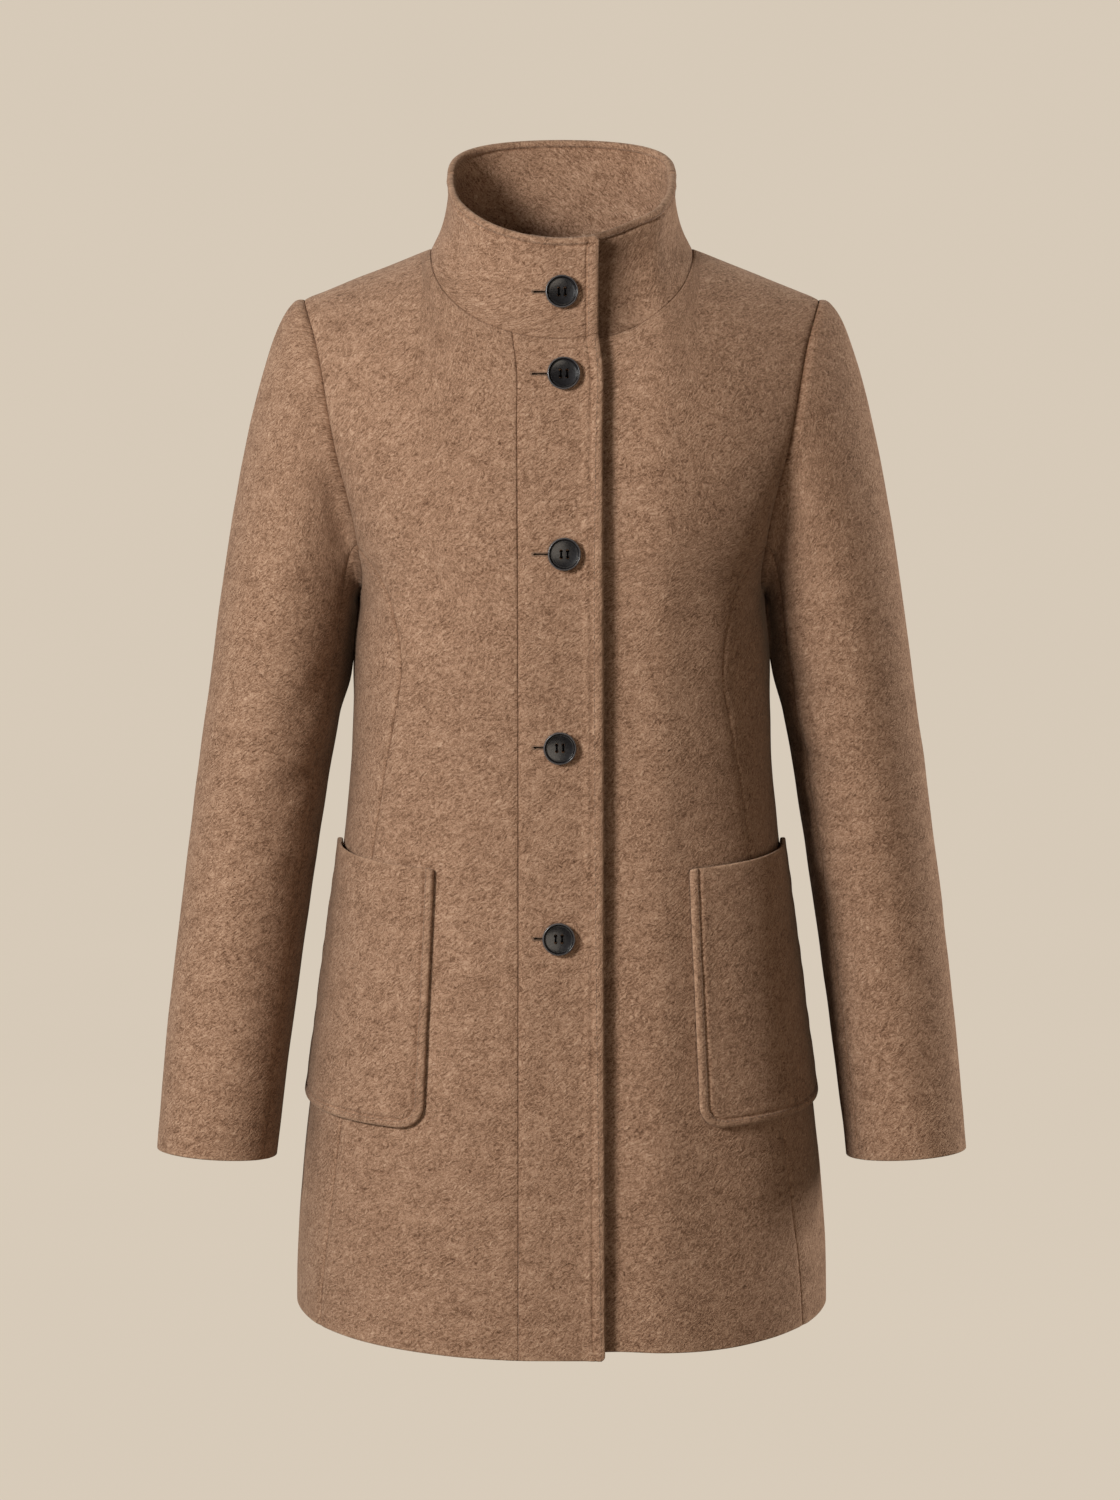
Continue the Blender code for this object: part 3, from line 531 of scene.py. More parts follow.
def band_edge(column_name):
    """A long edge of the button band, from the hem to the neck seam."""
    heights, values = BAND["height"], BAND[column_name]
    neck = -NECK_DROP_FRONT * math.sqrt(1 - (values[-1] / NECK_HALF) ** 2)
    low = hem_height(place(values[0], heights[0])[0])
    height = np.linspace(low, neck, FINE)
    return front_edge(smooth_read(heights, values, height), height)


def hem_arc(turn_from, turn_to, lift=0.0):
    """The hem between two turns; the under front's is lifted at the lap."""
    turn = np.linspace(turn_from, turn_to, FINE)
    x = coat_point(turn, hem_height(turn))[:, 0]
    height = hem_height(turn) + lift * (1 - ease(x, *HEM_LIFT_ENDS))
    return np.stack([turn, height], -1)


for name, curve in (("princess seam", princess(1)), ("side seam", side_seam(1)), ("shoulder", shoulder(1))):
    print(name, round(float(cloth_length(curve)[-1]) * 100, 1), "cm")

# %% [markdown]
# ## From four edges to a sewn piece
#
# A piece is a grid of places that fills its four edges. Thick felted wool has no sharp edges:
# a sewn edge rolls into its seam, a turned edge is a soft fold, and a row of topstitching near
# an edge pulls a groove and leaves a padded welt outside it. These are changes of height that
# depend only on the distance from the edge, so each edge of a piece just names what it is.
#
# Grid lines lie close together where the height changes fast, and 3 to 5 mm apart elsewhere.
# A modifier could round the edges too, but it would know nothing of seams and welts.

# %% Where the grid lines go
SEAM_GAP = 0.0001
STEP = 0.0048
TOP_FADES = 4                 # the power by which the bend of a piece's top fades downwards
SEWN_MARKS = (0.0003, 0.0008, 0.0014, 0.0022, 0.0034, 0.0052, 0.0080)
TURNED_MARKS = (0.0002, 0.0005, 0.0010, 0.0016, 0.0028, 0.0050, 0.0080)
BAND_WELT = 0.0088            # stitch line to edge, on the button band and the collar's end
COLLAR_WELT = 0.0060
POCKET_WELT = 0.0066


def welt_marks(at):
    near = (-0.0024, -0.0016, -0.0010, -0.0005, 0.0, 0.0005, 0.0010, 0.0016, 0.0026, 0.0042)
    inside = tuple(m for m in TURNED_MARKS if m < at - 0.0028)
    return inside + tuple(at + m for m in near)


def marks_for(kind):
    return SEWN_MARKS if kind == "pressed" else TURNED_MARKS


def spread(length, first=(), last=(), step=STEP):
    """Shares of a length, closer together at its ends."""
    low = [0.0, *first]
    high = [length - mark for mark in reversed(last)] + [length]
    count = max(2, round((high[0] - low[-1]) / step))
    middle = np.linspace(low[-1], high[0], count + 1)[1:-1]
    return np.concatenate([low, middle, high]) / length


def run(curves, first, last, step=STEP):
    """Curves in a row, read closely at the outer ends: the places, and the shares of each curve."""
    lengths = [cloth_length(curve)[-1] for curve in curves]
    shares = [
        spread(length, first if k == 0 else (), last if k == len(curves) - 1 else (), step)
        for k, length in enumerate(lengths)
    ]
    return joined([along(c, s) for c, s in zip(curves, shares)]), shares, lengths


def as_one(shares, lengths):
    """The same steps, as shares of the whole."""
    starts = np.concatenate([[0.0], np.cumsum(lengths)])
    steps = joined([start + s * length for start, s, length in zip(starts, shares, lengths)])
    return steps / starts[-1]


def fill(bottom, top, left, right):
    """A grid of places inside four edges. The top's bend fades fast, so it stays near the top."""
    u = np.linspace(0, 1, len(bottom))[:, None, None]
    v = np.linspace(0, 1, len(left))[None, :, None]
    rows = (1 - u) * left[None] + u * right[None]
    bottom_bend, top_bend = (edge[:, None] - (1 - u) * edge[0] - u * edge[-1] for edge in (bottom, top))
    return rows + (1 - v) * bottom_bend + v ** TOP_FADES * top_bend


# %% Heights near an edge
# radius of the edge, depth of the dip, height of the swell beside it, shade, width of the shade
SEAMS = {
    "sewn": (0.0008, 0.0009, 0.0004, 1.00, 0.0018),         # an armhole, eased over the sleeve head
    "pressed": (0.0004, 0.00045, 0.00020, 0.50, 0.0008),    # opened and pressed flat with steam
}
SEAM_DIP_REACH, SEAM_SWELL_AT = 0.0024, 0.0062
GROOVE, GROOVE_HALF = 0.0008, 0.0009
WELT_PUFF = 0.0011
WELT_BEHIND_AT, WELT_BEHIND_HALF = 0.0034, 0.0022      # a lower swell on the groove's other side
PUCKER_PITCH = 0.021          # the welt swells and shrinks about this often
PUCKER = 0.22                 # by this share of its height
PUCKER_DRIFT, PUCKER_START = 61.0, 1.3  # radians a metre, and at the start: no two swells are alike
WELT_FULLNESS = 0.8           # below 1 it is fuller than the half wave of a sine
SEAM_SWELL_HALF = 0.0035
EDGE_ROUND = 0.46             # radius of a turned edge, as a share of the cloth's thickness
RUB_AND_HIGHLIGHT_REACH = 0.0022
GROOVE_SHADE = 0.25


def rounding(distance, radius):
    """A quarter circle: how far the cloth's face falls back at its edge."""
    x = np.clip(distance / radius, 0.0, 1.0)
    return -radius * (1 - np.sqrt(1 - (1 - x) ** 2))


def sewn_height(distance, dip, swell):
    swollen = swell * np.exp(-((distance - SEAM_SWELL_AT) / SEAM_SWELL_HALF) ** 2)
    return swollen - dip * np.exp(-distance / SEAM_DIP_REACH)


def corner_cut(distance, radius):
    """How much a round corner takes off the edge that leads to it, at this distance."""
    x = np.clip(distance / radius, 0.0, 1.0)
    return radius * (1 - np.sqrt(1 - (1 - x) ** 2))


def welt_height(distance, at, run_length):
    """A groove at the stitch line and a padded welt outside it, uneven along its length."""
    swells = np.sin(run_length * 2 * math.pi / PUCKER_PITCH)
    swells *= np.sin(run_length * PUCKER_DRIFT + PUCKER_START)
    half_wave = np.sin(math.pi * np.clip(distance / at, 0.0, 1.0))
    puff = WELT_PUFF * (1 + PUCKER * swells) * half_wave ** WELT_FULLNESS
    groove = GROOVE * np.exp(-((distance - at) / GROOVE_HALF) ** 2)
    behind = 0.5 * WELT_PUFF * np.exp(-((distance - at - WELT_BEHIND_AT) / WELT_BEHIND_HALF) ** 2)
    return puff - groove + np.where(distance > at, behind, 0.0)


print("grid marks at a sewn edge, mm:", [round(m * 1000, 1) for m in SEWN_MARKS])


# %% Distances on a piece, and its place on flat cloth
def cumulative(points, axis):
    """Distance along each grid line from its first point."""
    steps = np.linalg.norm(np.diff(points, axis=axis), axis=-1)
    total = np.cumsum(steps, axis=axis)
    pad = np.zeros_like(np.take(total, [0], axis=axis))
    return np.concatenate([pad, total], axis=axis)


def edge_distances(points):
    across, up = cumulative(points, 0), cumulative(points, 1)
    return {
        "left": across,
        "right": across[-1:] - across,
        "bottom": up,
        "top": up[:, -1:] - up,
    }, across, up


UNEVEN_HEIGHT = 0.00045       # soft lumps of the felt
UNEVEN_SIZE = 0.030
PIECE_APART = 0.37            # from piece to piece on the flat cloth, in the third number


def unevenness(points):
    flat = points.reshape(-1, 3) / UNEVEN_SIZE
    return np.array([noise.noise(Vector(p)) for p in flat]).reshape(points.shape[:2]) * UNEVEN_HEIGHT


cloth_pieces, outer_faces, inner_faces = {}, {}, {}


def on_flat_cloth(points, normals):
    """Each point's place on the flat cloth: across to the right, up the grain, and a third
    number that differs from piece to piece, so that no two show the same stretch of cloth."""
    across, up = cumulative(points, 0), cumulative(points, 1)
    grain = len(points) // 2
    upward = math.copysign(1.0, points[grain, -1, 2] - points[grain, 0, 2])
    facing = np.cross(np.gradient(points, axis=0), np.gradient(points, axis=1)) * normals
    rightward = math.copysign(1.0, facing.sum() * upward)
    from_hem = up if upward > 0 else up[:, -1:] - up
    piece = np.full(up.shape, PIECE_APART * (len(cloth_pieces) + 1))
    return np.stack([(across - across[grain]) * rightward, from_hem, piece], -1)


print("felt lumps", UNEVEN_HEIGHT * 1000, "mm high,", UNEVEN_SIZE * 1000, "mm apart")


# %% A shell of cloth from a grid of points
def shell(name, points, normals, thickness, edges, distances=None, inside_welts=False):
    """A closed shell of cloth: its outer face on `points`, rounded and worked at its edges.

    `edges` says what each of the four edges is: "turned", one of the SEAMS, or the distance of
    its topstitching.
    """
    cloth_at = on_flat_cloth(points, normals)
    measured, across, up = edge_distances(points)
    distances = measured | (distances or {})
    outer_height = unevenness(points)
    inner_height = outer_height.copy()
    edge_fall, seam_shade, edge_rub_and_highlight = (np.zeros(points.shape[:2]) for _ in range(3))
    for side, kind in edges.items():
        away = distances[side]
        run_length = up if side in ("left", "right") else across
        radius = SEAMS[kind][0] if kind in SEAMS else EDGE_ROUND * thickness
        edge_fall = np.minimum(edge_fall, rounding(away, radius))
        if kind in SEAMS:
            _, dip, swell, shade, shade_width = SEAMS[kind]
            outer_height += sewn_height(away, dip, swell)
            inner_height -= 0.5 * sewn_height(away, dip, swell)
            seam_shade += shade * np.exp(-(away / shade_width) ** 2)
            continue
        # a turned edge is paler: partly wear, partly a painted highlight where its fuzz catches the light
        edge_rub_and_highlight += np.exp(-(away / RUB_AND_HIGHLIGHT_REACH) ** 2)
        if kind != "turned":
            lift = welt_height(away, kind, run_length)
            outer_height += lift
            if inside_welts:
                inner_height -= lift
            seam_shade += GROOVE_SHADE * np.exp(-((away - kind) / GROOVE_HALF) ** 2)
    outer = points + (outer_height + edge_fall)[..., None] * normals
    inner = points + (inner_height - edge_fall - thickness)[..., None] * normals
    obj = closed_grid("cloth_" + name, outer, inner)
    store(obj, "cloth", np.concatenate([cloth_at.reshape(-1, 3)] * 2), "FLOAT_VECTOR")
    for kept, values in (("seam_shade", seam_shade), ("edge_rub_and_highlight", edge_rub_and_highlight)):
        store(obj, kept, np.tile(np.clip(values, 0, 1).ravel(), 2), "FLOAT")
    cloth_pieces[name] = obj
    outer_faces[name] = outer
    inner_faces[name] = inner
    return obj


def store(obj, name, values, kind):
    """Keeps a value for each point of the mesh, where its material can read it."""
    made = obj.data.attributes.new(name, kind, "POINT")
    key = "vector" if kind == "FLOAT_VECTOR" else "value"
    made.data.foreach_set(key, np.asarray(values, np.float32).ravel())


def grid_faces(number):
    """The four corners of each face of a grid whose points are numbered like this."""
    corners = [number[:-1, :-1], number[1:, :-1], number[1:, 1:], number[:-1, 1:]]
    return np.stack(corners, -1).reshape(-1, 4)


def closed_grid(name, outer, inner):
    """Two grids of points joined round their rim into one closed mesh."""
    columns, rows = outer.shape[:2]
    number = np.arange(columns * rows).reshape(columns, rows)
    quads = grid_faces(number)
    rim = np.concatenate([number[:, 0], number[-1, 1:], number[-2::-1, -1], number[0, -2::-1]])
    sides = np.stack([rim[:-1], rim[:-1] + number.size, rim[1:] + number.size, rim[1:]], -1)
    faces = np.concatenate([quads, quads[:, ::-1] + number.size, sides])
    obj = mesh_object(name, np.concatenate([outer.reshape(-1, 3), inner.reshape(-1, 3)]), faces.tolist())
    bm = bmesh.new()
    bm.from_mesh(obj.data)
    bmesh.ops.recalc_face_normals(bm, faces=bm.faces[:])
    bm.to_mesh(obj.data)
    bm.free()
    return obj


# %% [markdown]
# ## Folds
#
# Brushed wool is thick, so the coat has few folds, and those are broad and shallow: slack inside
# each elbow, drag lines from the armpits, a roll on the collar, and soft flutes where the skirt
# widens. Each is placed as a line in space with a width and a depth.

# %% The folds, listed one by one
# start, end (metres), half width, height (a trough is negative)
FOLDS = (
    # the collar's roll on its left front, and a softer one on the right
    ((0.0800, -0.050, 0.040), (0.0680, -0.070, -0.025), 0.0090, 0.0028),
    ((0.0580, -0.074, 0.040), (0.0480, -0.088, -0.052), 0.0145, -0.0050),
    ((-0.0840, -0.045, 0.030), (-0.0740, -0.062, -0.020), 0.0100, -0.0022),
    ((-0.0560, -0.072, 0.012), (-0.0260, -0.086, -0.030), 0.0120, -0.0012),
    # fullness under the arms, then drag lines from the armpits
    ((0.1480, 0.000, -0.235), (0.1500, 0.000, -0.325), 0.0200, 0.0016),
    ((-0.1480, 0.000, -0.235), (-0.1500, 0.000, -0.320), 0.0200, 0.0016),
    ((0.1440, -0.045, -0.245), (0.1120, -0.095, -0.315), 0.0130, -0.0016),
    ((-0.1440, -0.045, -0.245), (-0.1080, -0.098, -0.300), 0.0120, -0.0014),
    ((0.1440, 0.045, -0.240), (0.0950, 0.098, -0.300), 0.0140, -0.0020),
    ((-0.1440, 0.045, -0.240), (-0.1020, 0.096, -0.320), 0.0150, -0.0018),
    # flutes of the skirt, in front and behind
    ((0.0950, -0.115, -0.360), (0.1120, -0.128, -0.780), 0.0260, -0.0022),
    ((-0.0900, -0.118, -0.340), (-0.1080, -0.130, -0.780), 0.0280, -0.0020),
    ((0.0620, 0.104, -0.420), (0.0700, 0.136, -0.780), 0.0270, -0.0034),
    ((-0.0480, 0.108, -0.390), (-0.0640, 0.138, -0.780), 0.0300, -0.0030),
    ((0.0080, 0.112, -0.450), (0.0060, 0.146, -0.790), 0.0320, 0.0024),
    ((0.1350, 0.060, -0.430), (0.1700, 0.078, -0.780), 0.0240, -0.0024),
    ((-0.1380, 0.056, -0.400), (-0.1720, 0.074, -0.780), 0.0240, -0.0020),
    # slack above the waist at the back
    ((-0.0900, 0.098, -0.335), (0.0200, 0.113, -0.352), 0.0120, -0.0016),
    ((-0.0200, 0.113, -0.310), (0.0950, 0.096, -0.325), 0.0130, -0.0018),
    ((-0.0700, 0.118, -0.120), (-0.1080, 0.108, -0.230), 0.0180, -0.0018),
    ((0.0700, 0.118, -0.120), (0.1100, 0.106, -0.220), 0.0170, -0.0016),
)


FOLD_RISES, FOLD_FADES = (-0.05, 0.30), (0.75, 1.12)      # shares of its length


def fold_heights(points, folds):
    """How far the folds lift each point of a grid, by its distance from each fold's line."""
    total = np.zeros(points.shape[:2])
    for start, end, half_width, height in folds:
        start, end = np.array(start), np.array(end)
        line = end - start
        t = ((points - start) @ line) / (line @ line)
        foot = start + np.clip(t, 0, 1)[..., None] * line
        away = np.linalg.norm(points - foot, axis=-1)
        fade = ease(t, *FOLD_RISES) * (1 - ease(t, *FOLD_FADES))
        total += height * np.exp(-(away / half_width) ** 2) * fade
    return total


# along the low front of each armhole the cloth of body and sleeve sinks together into the seam
ARMHOLE_FOLDS = (
    ((0.1680, -0.080, -0.130), (0.1560, -0.054, -0.215), 0.0080, -0.0034),
    ((-0.1680, -0.080, -0.130), (-0.1560, -0.054, -0.215), 0.0080, -0.0036),
)

print("folds on the body and collar:", len(FOLDS))

# %% [markdown]
# ## The body's pieces
#
# Two centre fronts, two side fronts, the button band and the back. The left front runs on under
# the band and lies lower there, so that the lap is real and its edge throws a true shadow.

# %% What the body pieces share
CLOTH = 0.0025
LEAD_STANDS = 0.0022          # the leading edge lifts this much off the lap
LEAD_STANDS_OVER = 0.016
LEAD_CORNER = 0.0045          # radius of its corners, at the hem and at the collar's top


def drawn_in(points, normals):
    """Each edge moved inwards by half a seam gap, along the cloth."""
    moved = points.copy()
    columns, rows = points.shape[:2]
    for axis, index, inwards in ((0, 0, 1), (0, columns - 1, -1), (1, 0, 1), (1, rows - 1, -1)):
        edge = (index, slice(None)) if axis == 0 else (slice(None), index)
        line = unit(np.gradient(points[edge], axis=0))
        towards = np.cross(normals[edge], line)
        inside = np.take(points, index + inwards, axis) - points[edge]
        towards *= np.sign(np.sum(towards * inside, -1, keepdims=True))
        moved[edge] += SEAM_GAP / 2 * towards
    return moved


def body_piece(name, grid, edges, drop=0.0):
    normals = coat_normal(grid[..., 0], grid[..., 1])
    points = coat_point(grid[..., 0], grid[..., 1])
    points = drawn_in(points - drop * normals, normals)
    lifted = points + fold_heights(points, FOLDS + ARMHOLE_FOLDS)[..., None] * normals
    return shell(name, lifted, normals, CLOTH, edges)


def stands_off(points):
    """How far the leading edge, the last column, lifts off the lap."""
    across = cumulative(points, 0)
    return LEAD_STANDS * (1 - ease(across[-1:] - across, 0.0, LEAD_STANDS_OVER))[..., None]


def under_drop(x):
    return LAP_DROP * (1 - ease(x, *LAP_EASE))


print("leading edge stands off", LEAD_STANDS * 1000, "mm")


# %% The fronts
def make_front(side, label):
    seam = princess(side)
    high_out = armhole(side)[0][::-1]
    if side < 0:
        low_in, high_in = band_edge("seam")
        neck = neckline(coat_point(*high_in[-1])[0], -NECK_HALF)
        lift, inner_kind = 0.0, "pressed"
    else:
        neck_height = -NECK_DROP_FRONT * math.sqrt(1 - (UNDERLAP / NECK_HALF) ** 2)
        height = np.linspace(hem_height(0.0) + HEM_LIFT, neck_height, FINE)
        low_in, high_in = front_edge(np.full(FINE, UNDERLAP), height)
        neck = neckline(UNDERLAP, NECK_HALF)
        lift, inner_kind = HEM_LIFT, "turned"
    right, row_shares, _ = run([seam, high_out], TURNED_MARKS, SEWN_MARKS)
    left = joined([along(c, s) for c, s in zip((low_in, high_in), row_shares)])
    top, shares, lengths = run([neck, shoulder(side)], marks_for(inner_kind), SEWN_MARKS)
    bottom = along(hem_arc(left[0][0], right[0][0], lift), as_one(shares, lengths))
    grid = fill(bottom, top, left, right)
    x = coat_point(grid[..., 0], grid[..., 1])[..., :1]
    drop = under_drop(x) if side > 0 else 0.0
    edges = {"left": inner_kind, "right": "pressed", "bottom": "turned", "top": "pressed"}
    return body_piece("front_" + label, grid, edges, drop)


def make_side_front(side, label):
    seam = princess(side)
    left, row_shares, _ = run([seam], TURNED_MARKS, SEWN_MARKS)
    right = along(side_seam(side), row_shares[0])
    top, shares, _ = run([armhole(side)[1]], SEWN_MARKS, SEWN_MARKS)
    bottom = along(hem_arc(left[0][0], side * math.pi / 2), shares[0])
    edges = {"left": "pressed", "right": "pressed", "bottom": "turned", "top": "sewn"}
    return body_piece("side_front_" + label, fill(bottom, top, left, right), edges)


SIDES = ((-1, "right"), (1, "left"))
for side, label in SIDES:
    make_front(side, label)
    make_side_front(side, label)
print("fronts:", list(cloth_pieces))


# %% The button band and the back
def make_band():
    seam_edge, leading_edge = band_edge("seam"), band_edge("leading_edge")
    left, row_shares, _ = run(seam_edge, TURNED_MARKS, SEWN_MARKS)
    right = joined([along(c, s) for c, s in zip(leading_edge, row_shares)])
    ends = [coat_point(*edge[-1])[0] for edge in (seam_edge[1], leading_edge[1])]
    top, shares, _ = run([neckline(*ends)], SEWN_MARKS, welt_marks(BAND_WELT))
    bottom = along(np.linspace(left[0], right[0], FINE), shares[0])
    edges = {"left": "pressed", "right": BAND_WELT, "bottom": "turned", "top": "pressed"}
    grid = fill(bottom, top, left, right)
    points = coat_point(grid[..., 0], grid[..., 1])
    from_lead, from_hem = edge_distances(points)[0]["right"], edge_distances(points)[0]["bottom"]
    grid[..., 1] += corner_cut(from_lead, LEAD_CORNER) * (1 - ease(from_hem, 0.0, 3 * LEAD_CORNER))
    return body_piece("button_band", grid, edges, -stands_off(points))


def make_back():
    sides = []
    for side in (1, -1):
        _, _, back_low, back_high = armhole(side)
        sides.append([side_seam(side), back_low, back_high])
    left, row_shares, _ = run(sides[0], TURNED_MARKS, SEWN_MARKS)
    right = joined([along(c, s) for c, s in zip(sides[1], row_shares)]) + np.array([2 * math.pi, 0.0])
    turned = shoulder(-1, True) + np.array([2 * math.pi, 0.0])
    across = [shoulder(1, True)[::-1], neckline(NECK_HALF, -NECK_HALF, True), turned]
    top, shares, lengths = run(across, SEWN_MARKS, SEWN_MARKS)
    turns = np.linspace(math.pi / 2, 3 * math.pi / 2, FINE)
    bottom = along(np.stack([turns, np.full(FINE, HEM)], -1), as_one(shares, lengths))
    edges = {"left": "pressed", "right": "pressed", "bottom": "turned", "top": "pressed"}
    return body_piece("back", fill(bottom, top, left, right), edges)


make_band()
make_back()
print("body pieces:", {name: len(obj.data.polygons) for name, obj in cloth_pieces.items()})

# %% [markdown]
# ## The sleeves
#
# A coat sleeve is two pieces: a wide upper one and a narrow one under the arm, with a seam in
# front and one behind. It starts square to the armhole, turns down over the sleeve head, and
# bends a little forward at the elbow. Rings read from a table give the arm; between the first
# ring and the armhole, each line leaves sideways and turns down later, as a set-in sleeve does.

# %% Sizes of the sleeves
SLEEVE = table(
    "height out forward half_width half_depth tilt cant",
    (-0.286, 0.2050, 0.000, 0.0502, 0.0600, 0.00, 0.04),
    (-0.331, 0.2118, -0.002, 0.0494, 0.0585, 0.00, 0.05),
    (-0.378, 0.2197, -0.003, 0.0486, 0.0570, 0.00, 0.06),
    (-0.430, 0.2272, -0.002, 0.0478, 0.0555, 0.01, 0.06),
    (-0.480, 0.2344, 0.001, 0.0474, 0.0540, 0.03, 0.06),
    (-0.524, 0.2402, 0.006, 0.0468, 0.0525, 0.05, 0.06),
    (-0.572, 0.2462, 0.013, 0.0462, 0.0505, 0.07, 0.06),
    (-0.622, 0.2517, 0.022, 0.0452, 0.0480, 0.08, 0.06),
    (-0.6665, 0.2562, 0.030, 0.0444, 0.0460, 0.09, 0.065),
)
CAP_CURVE_TOP, CAP_CURVE_SIDE, CAP_CURVE_UNDER = 1.95, 1.9, 2.2
HEAD_LIFT, HEAD_REACH = 0.0015, 0.40
ARM_SEAMS = (145.0, 230.0)    # degrees round the arm from its outer side, over the front
CAP_LENGTH, ARM_LENGTH = 0.25, 0.385
SEAM_TURN = 0.012             # over this length a wall turns from its neighbour's direction to its own
SLEEVE_STEP = 0.0036


# %% The sleeve's surface
def arm_ring(side, angles, share):
    """Points round the arm; share 0 is the first ring and 1 the cuff."""
    heights = SLEEVE["height"]
    height = heights[0] + (heights[-1] - heights[0]) * share
    value = {name: smooth_read(heights[::-1], values[::-1], height) for name, values in SLEEVE.items()}
    ahead = value["half_depth"] * np.sin(angles)
    outwards = value["half_width"] * np.cos(angles)
    level = height + value["tilt"] * ahead + value["cant"] * outwards
    return np.stack([side * (value["out"] + outwards), -value["forward"] - ahead, level], -1)


def cap_curve(angles):
    """How late each line of the cap turns down."""
    lean = np.cos(angles)
    top = CAP_CURVE_SIDE + (CAP_CURVE_TOP - CAP_CURVE_SIDE) * np.maximum(lean, 0) ** 2
    return top + (CAP_CURVE_UNDER - CAP_CURVE_SIDE) * np.maximum(-lean, 0) ** 2


def sleeve_points(side, curve, angles, cap_rows, arm_rows):
    """The part of the sleeve that starts from this stretch of the armhole."""
    points = coat_point(curve[:, 0], curve[:, 1])
    normals = coat_normal(curve[:, 0], curve[:, 1])
    towards = np.cross(normals, unit(np.gradient(points, axis=0)))
    centre = coat_point(side * math.pi / 2, -0.15)
    towards *= np.sign(np.sum(towards * (centre - points), -1, keepdims=True))
    start = points + SEAM_GAP / 2 * towards
    end = arm_ring(side, angles, 0.0)
    late = cap_curve(angles)
    lines = []
    for share in cap_rows:
        outwards = np.full_like(angles, share)
        row = start + (end - start) * np.stack([outwards, outwards, share ** late], -1)
        roll = HEAD_LIFT * math.sin(math.pi * min(share / HEAD_REACH, 1.0))
        row[:, 2] += roll * np.maximum(np.cos(angles), 0) ** 2
        lines.append(row)
    lines += [arm_ring(side, angles, share) for share in arm_rows[1:]]
    return np.stack(lines, 1)


def grid_normals(points, outside_of):
    """Normals of a grid, pointing away from the points `outside_of`."""
    normals = unit(np.cross(np.gradient(points, axis=0), np.gradient(points, axis=1)))
    flip = np.sign(np.sum(normals * (points - outside_of), axis=(0, 2)))
    return normals * np.sign(flip.sum())


def seam_normals(points, normals, neighbour):
    """Normals that lean over to the neighbour's at the first row, so that two walls of cloth
    meet face to face at the seam."""
    own = ease(cumulative(points, 1), 0.0, SEAM_TURN)[..., None]
    return unit(own * normals + (1 - own) * neighbour[:, None])


# %% The folds of the sleeves, listed one by one
# angle round the arm and share of its length at each end, half width, height
SLEEVE_FOLDS = {
    "right": (
        ((180, -0.12), (180, 0.12), 0.0190, 0.0036),
        ((150, 0.02), (105, 0.16), 0.0130, -0.0022),
        ((170, 0.20), (100, 0.30), 0.0130, -0.0036),
        ((176, 0.33), (90, 0.38), 0.0120, -0.0030),
        ((165, 0.47), (120, 0.42), 0.0120, -0.0016),
        ((215, 0.18), (270, 0.34), 0.0150, -0.0018),
        ((60, 0.55), (80, 0.90), 0.0200, -0.0014),
        ((300, 0.50), (285, 0.92), 0.0220, -0.0016),
    ),
    "left": (
        ((180, -0.12), (180, 0.11), 0.0190, 0.0034),
        ((148, 0.03), (100, 0.13), 0.0120, -0.0018),
        ((172, 0.16), (105, 0.27), 0.0130, -0.0034),
        ((174, 0.31), (98, 0.34), 0.0120, -0.0030),
        ((168, 0.43), (112, 0.40), 0.0130, -0.0018),
        ((212, 0.22), (262, 0.36), 0.0150, -0.0020),
        ((70, 0.60), (62, 0.93), 0.0210, -0.0014),
        ((305, 0.46), (295, 0.88), 0.0210, -0.0018),
    ),
}


def sleeve_folds(side, label):
    folds = list(ARMHOLE_FOLDS)
    for (angle_a, share_a), (angle_b, share_b), half_width, height in SLEEVE_FOLDS[label]:
        start = arm_ring(side, np.radians([float(angle_a)]), share_a)[0]
        end = arm_ring(side, np.radians([float(angle_b)]), share_b)[0]
        folds.append((start, end, half_width, height))
    return folds


# %% The four sleeve pieces
def make_sleeve(side, label):
    front_high, front_low, back_low, back_high = armhole(side)
    front_seam, hind_seam = np.radians(ARM_SEAMS)
    cap_rows = spread(CAP_LENGTH, SEWN_MARKS)
    arm_rows = spread(ARM_LENGTH, (), TURNED_MARKS)
    pieces = {
        "sleeve_upper_": ([back_high, front_high], [(hind_seam, 2 * math.pi), (0.0, front_seam)]),
        "sleeve_under_": ([front_low, back_low], [(front_seam, math.pi), (math.pi, hind_seam)]),
    }
    folds = sleeve_folds(side, label)
    for name, (curves, turns) in pieces.items():
        _, shares, _ = run(curves, SEWN_MARKS, SEWN_MARKS, SLEEVE_STEP)
        parts = []
        for curve, (start, end), s in zip(curves, turns, shares):
            angles = start + (end - start) * s
            parts.append(sleeve_points(side, along(curve, s), angles, cap_rows, arm_rows))
        points = joined(parts)
        ring = joined([along(curve, s) for curve, s in zip(curves, shares)])
        levels = np.append(np.zeros(len(cap_rows)), arm_rows[1:])
        axis = np.stack([arm_ring(side, np.radians([0.0, 180.0]), level).mean(0) for level in levels])
        normals = seam_normals(points, grid_normals(points, axis[None]), coat_normal(*ring.T))
        points = points + fold_heights(points, folds)[..., None] * normals
        edges = {"left": "pressed", "right": "pressed", "bottom": "sewn", "top": "turned"}
        shell(name + label, points, normals, CLOTH, edges)


for side, label in SIDES:
    make_sleeve(side, label)
print("sleeve pieces:", [name for name in cloth_pieces if name.startswith("sleeve")])

# %% [markdown]
# ## The collar
#
# The funnel collar is one standing strip, made double. Its lower edge follows the neck seam from
# the lap, round the back, to the hidden end under the lap. It leans in at first and then stands
# upright, and its top edge is low in front and high behind. A row of topstitching runs along
# the top and down the leading end.

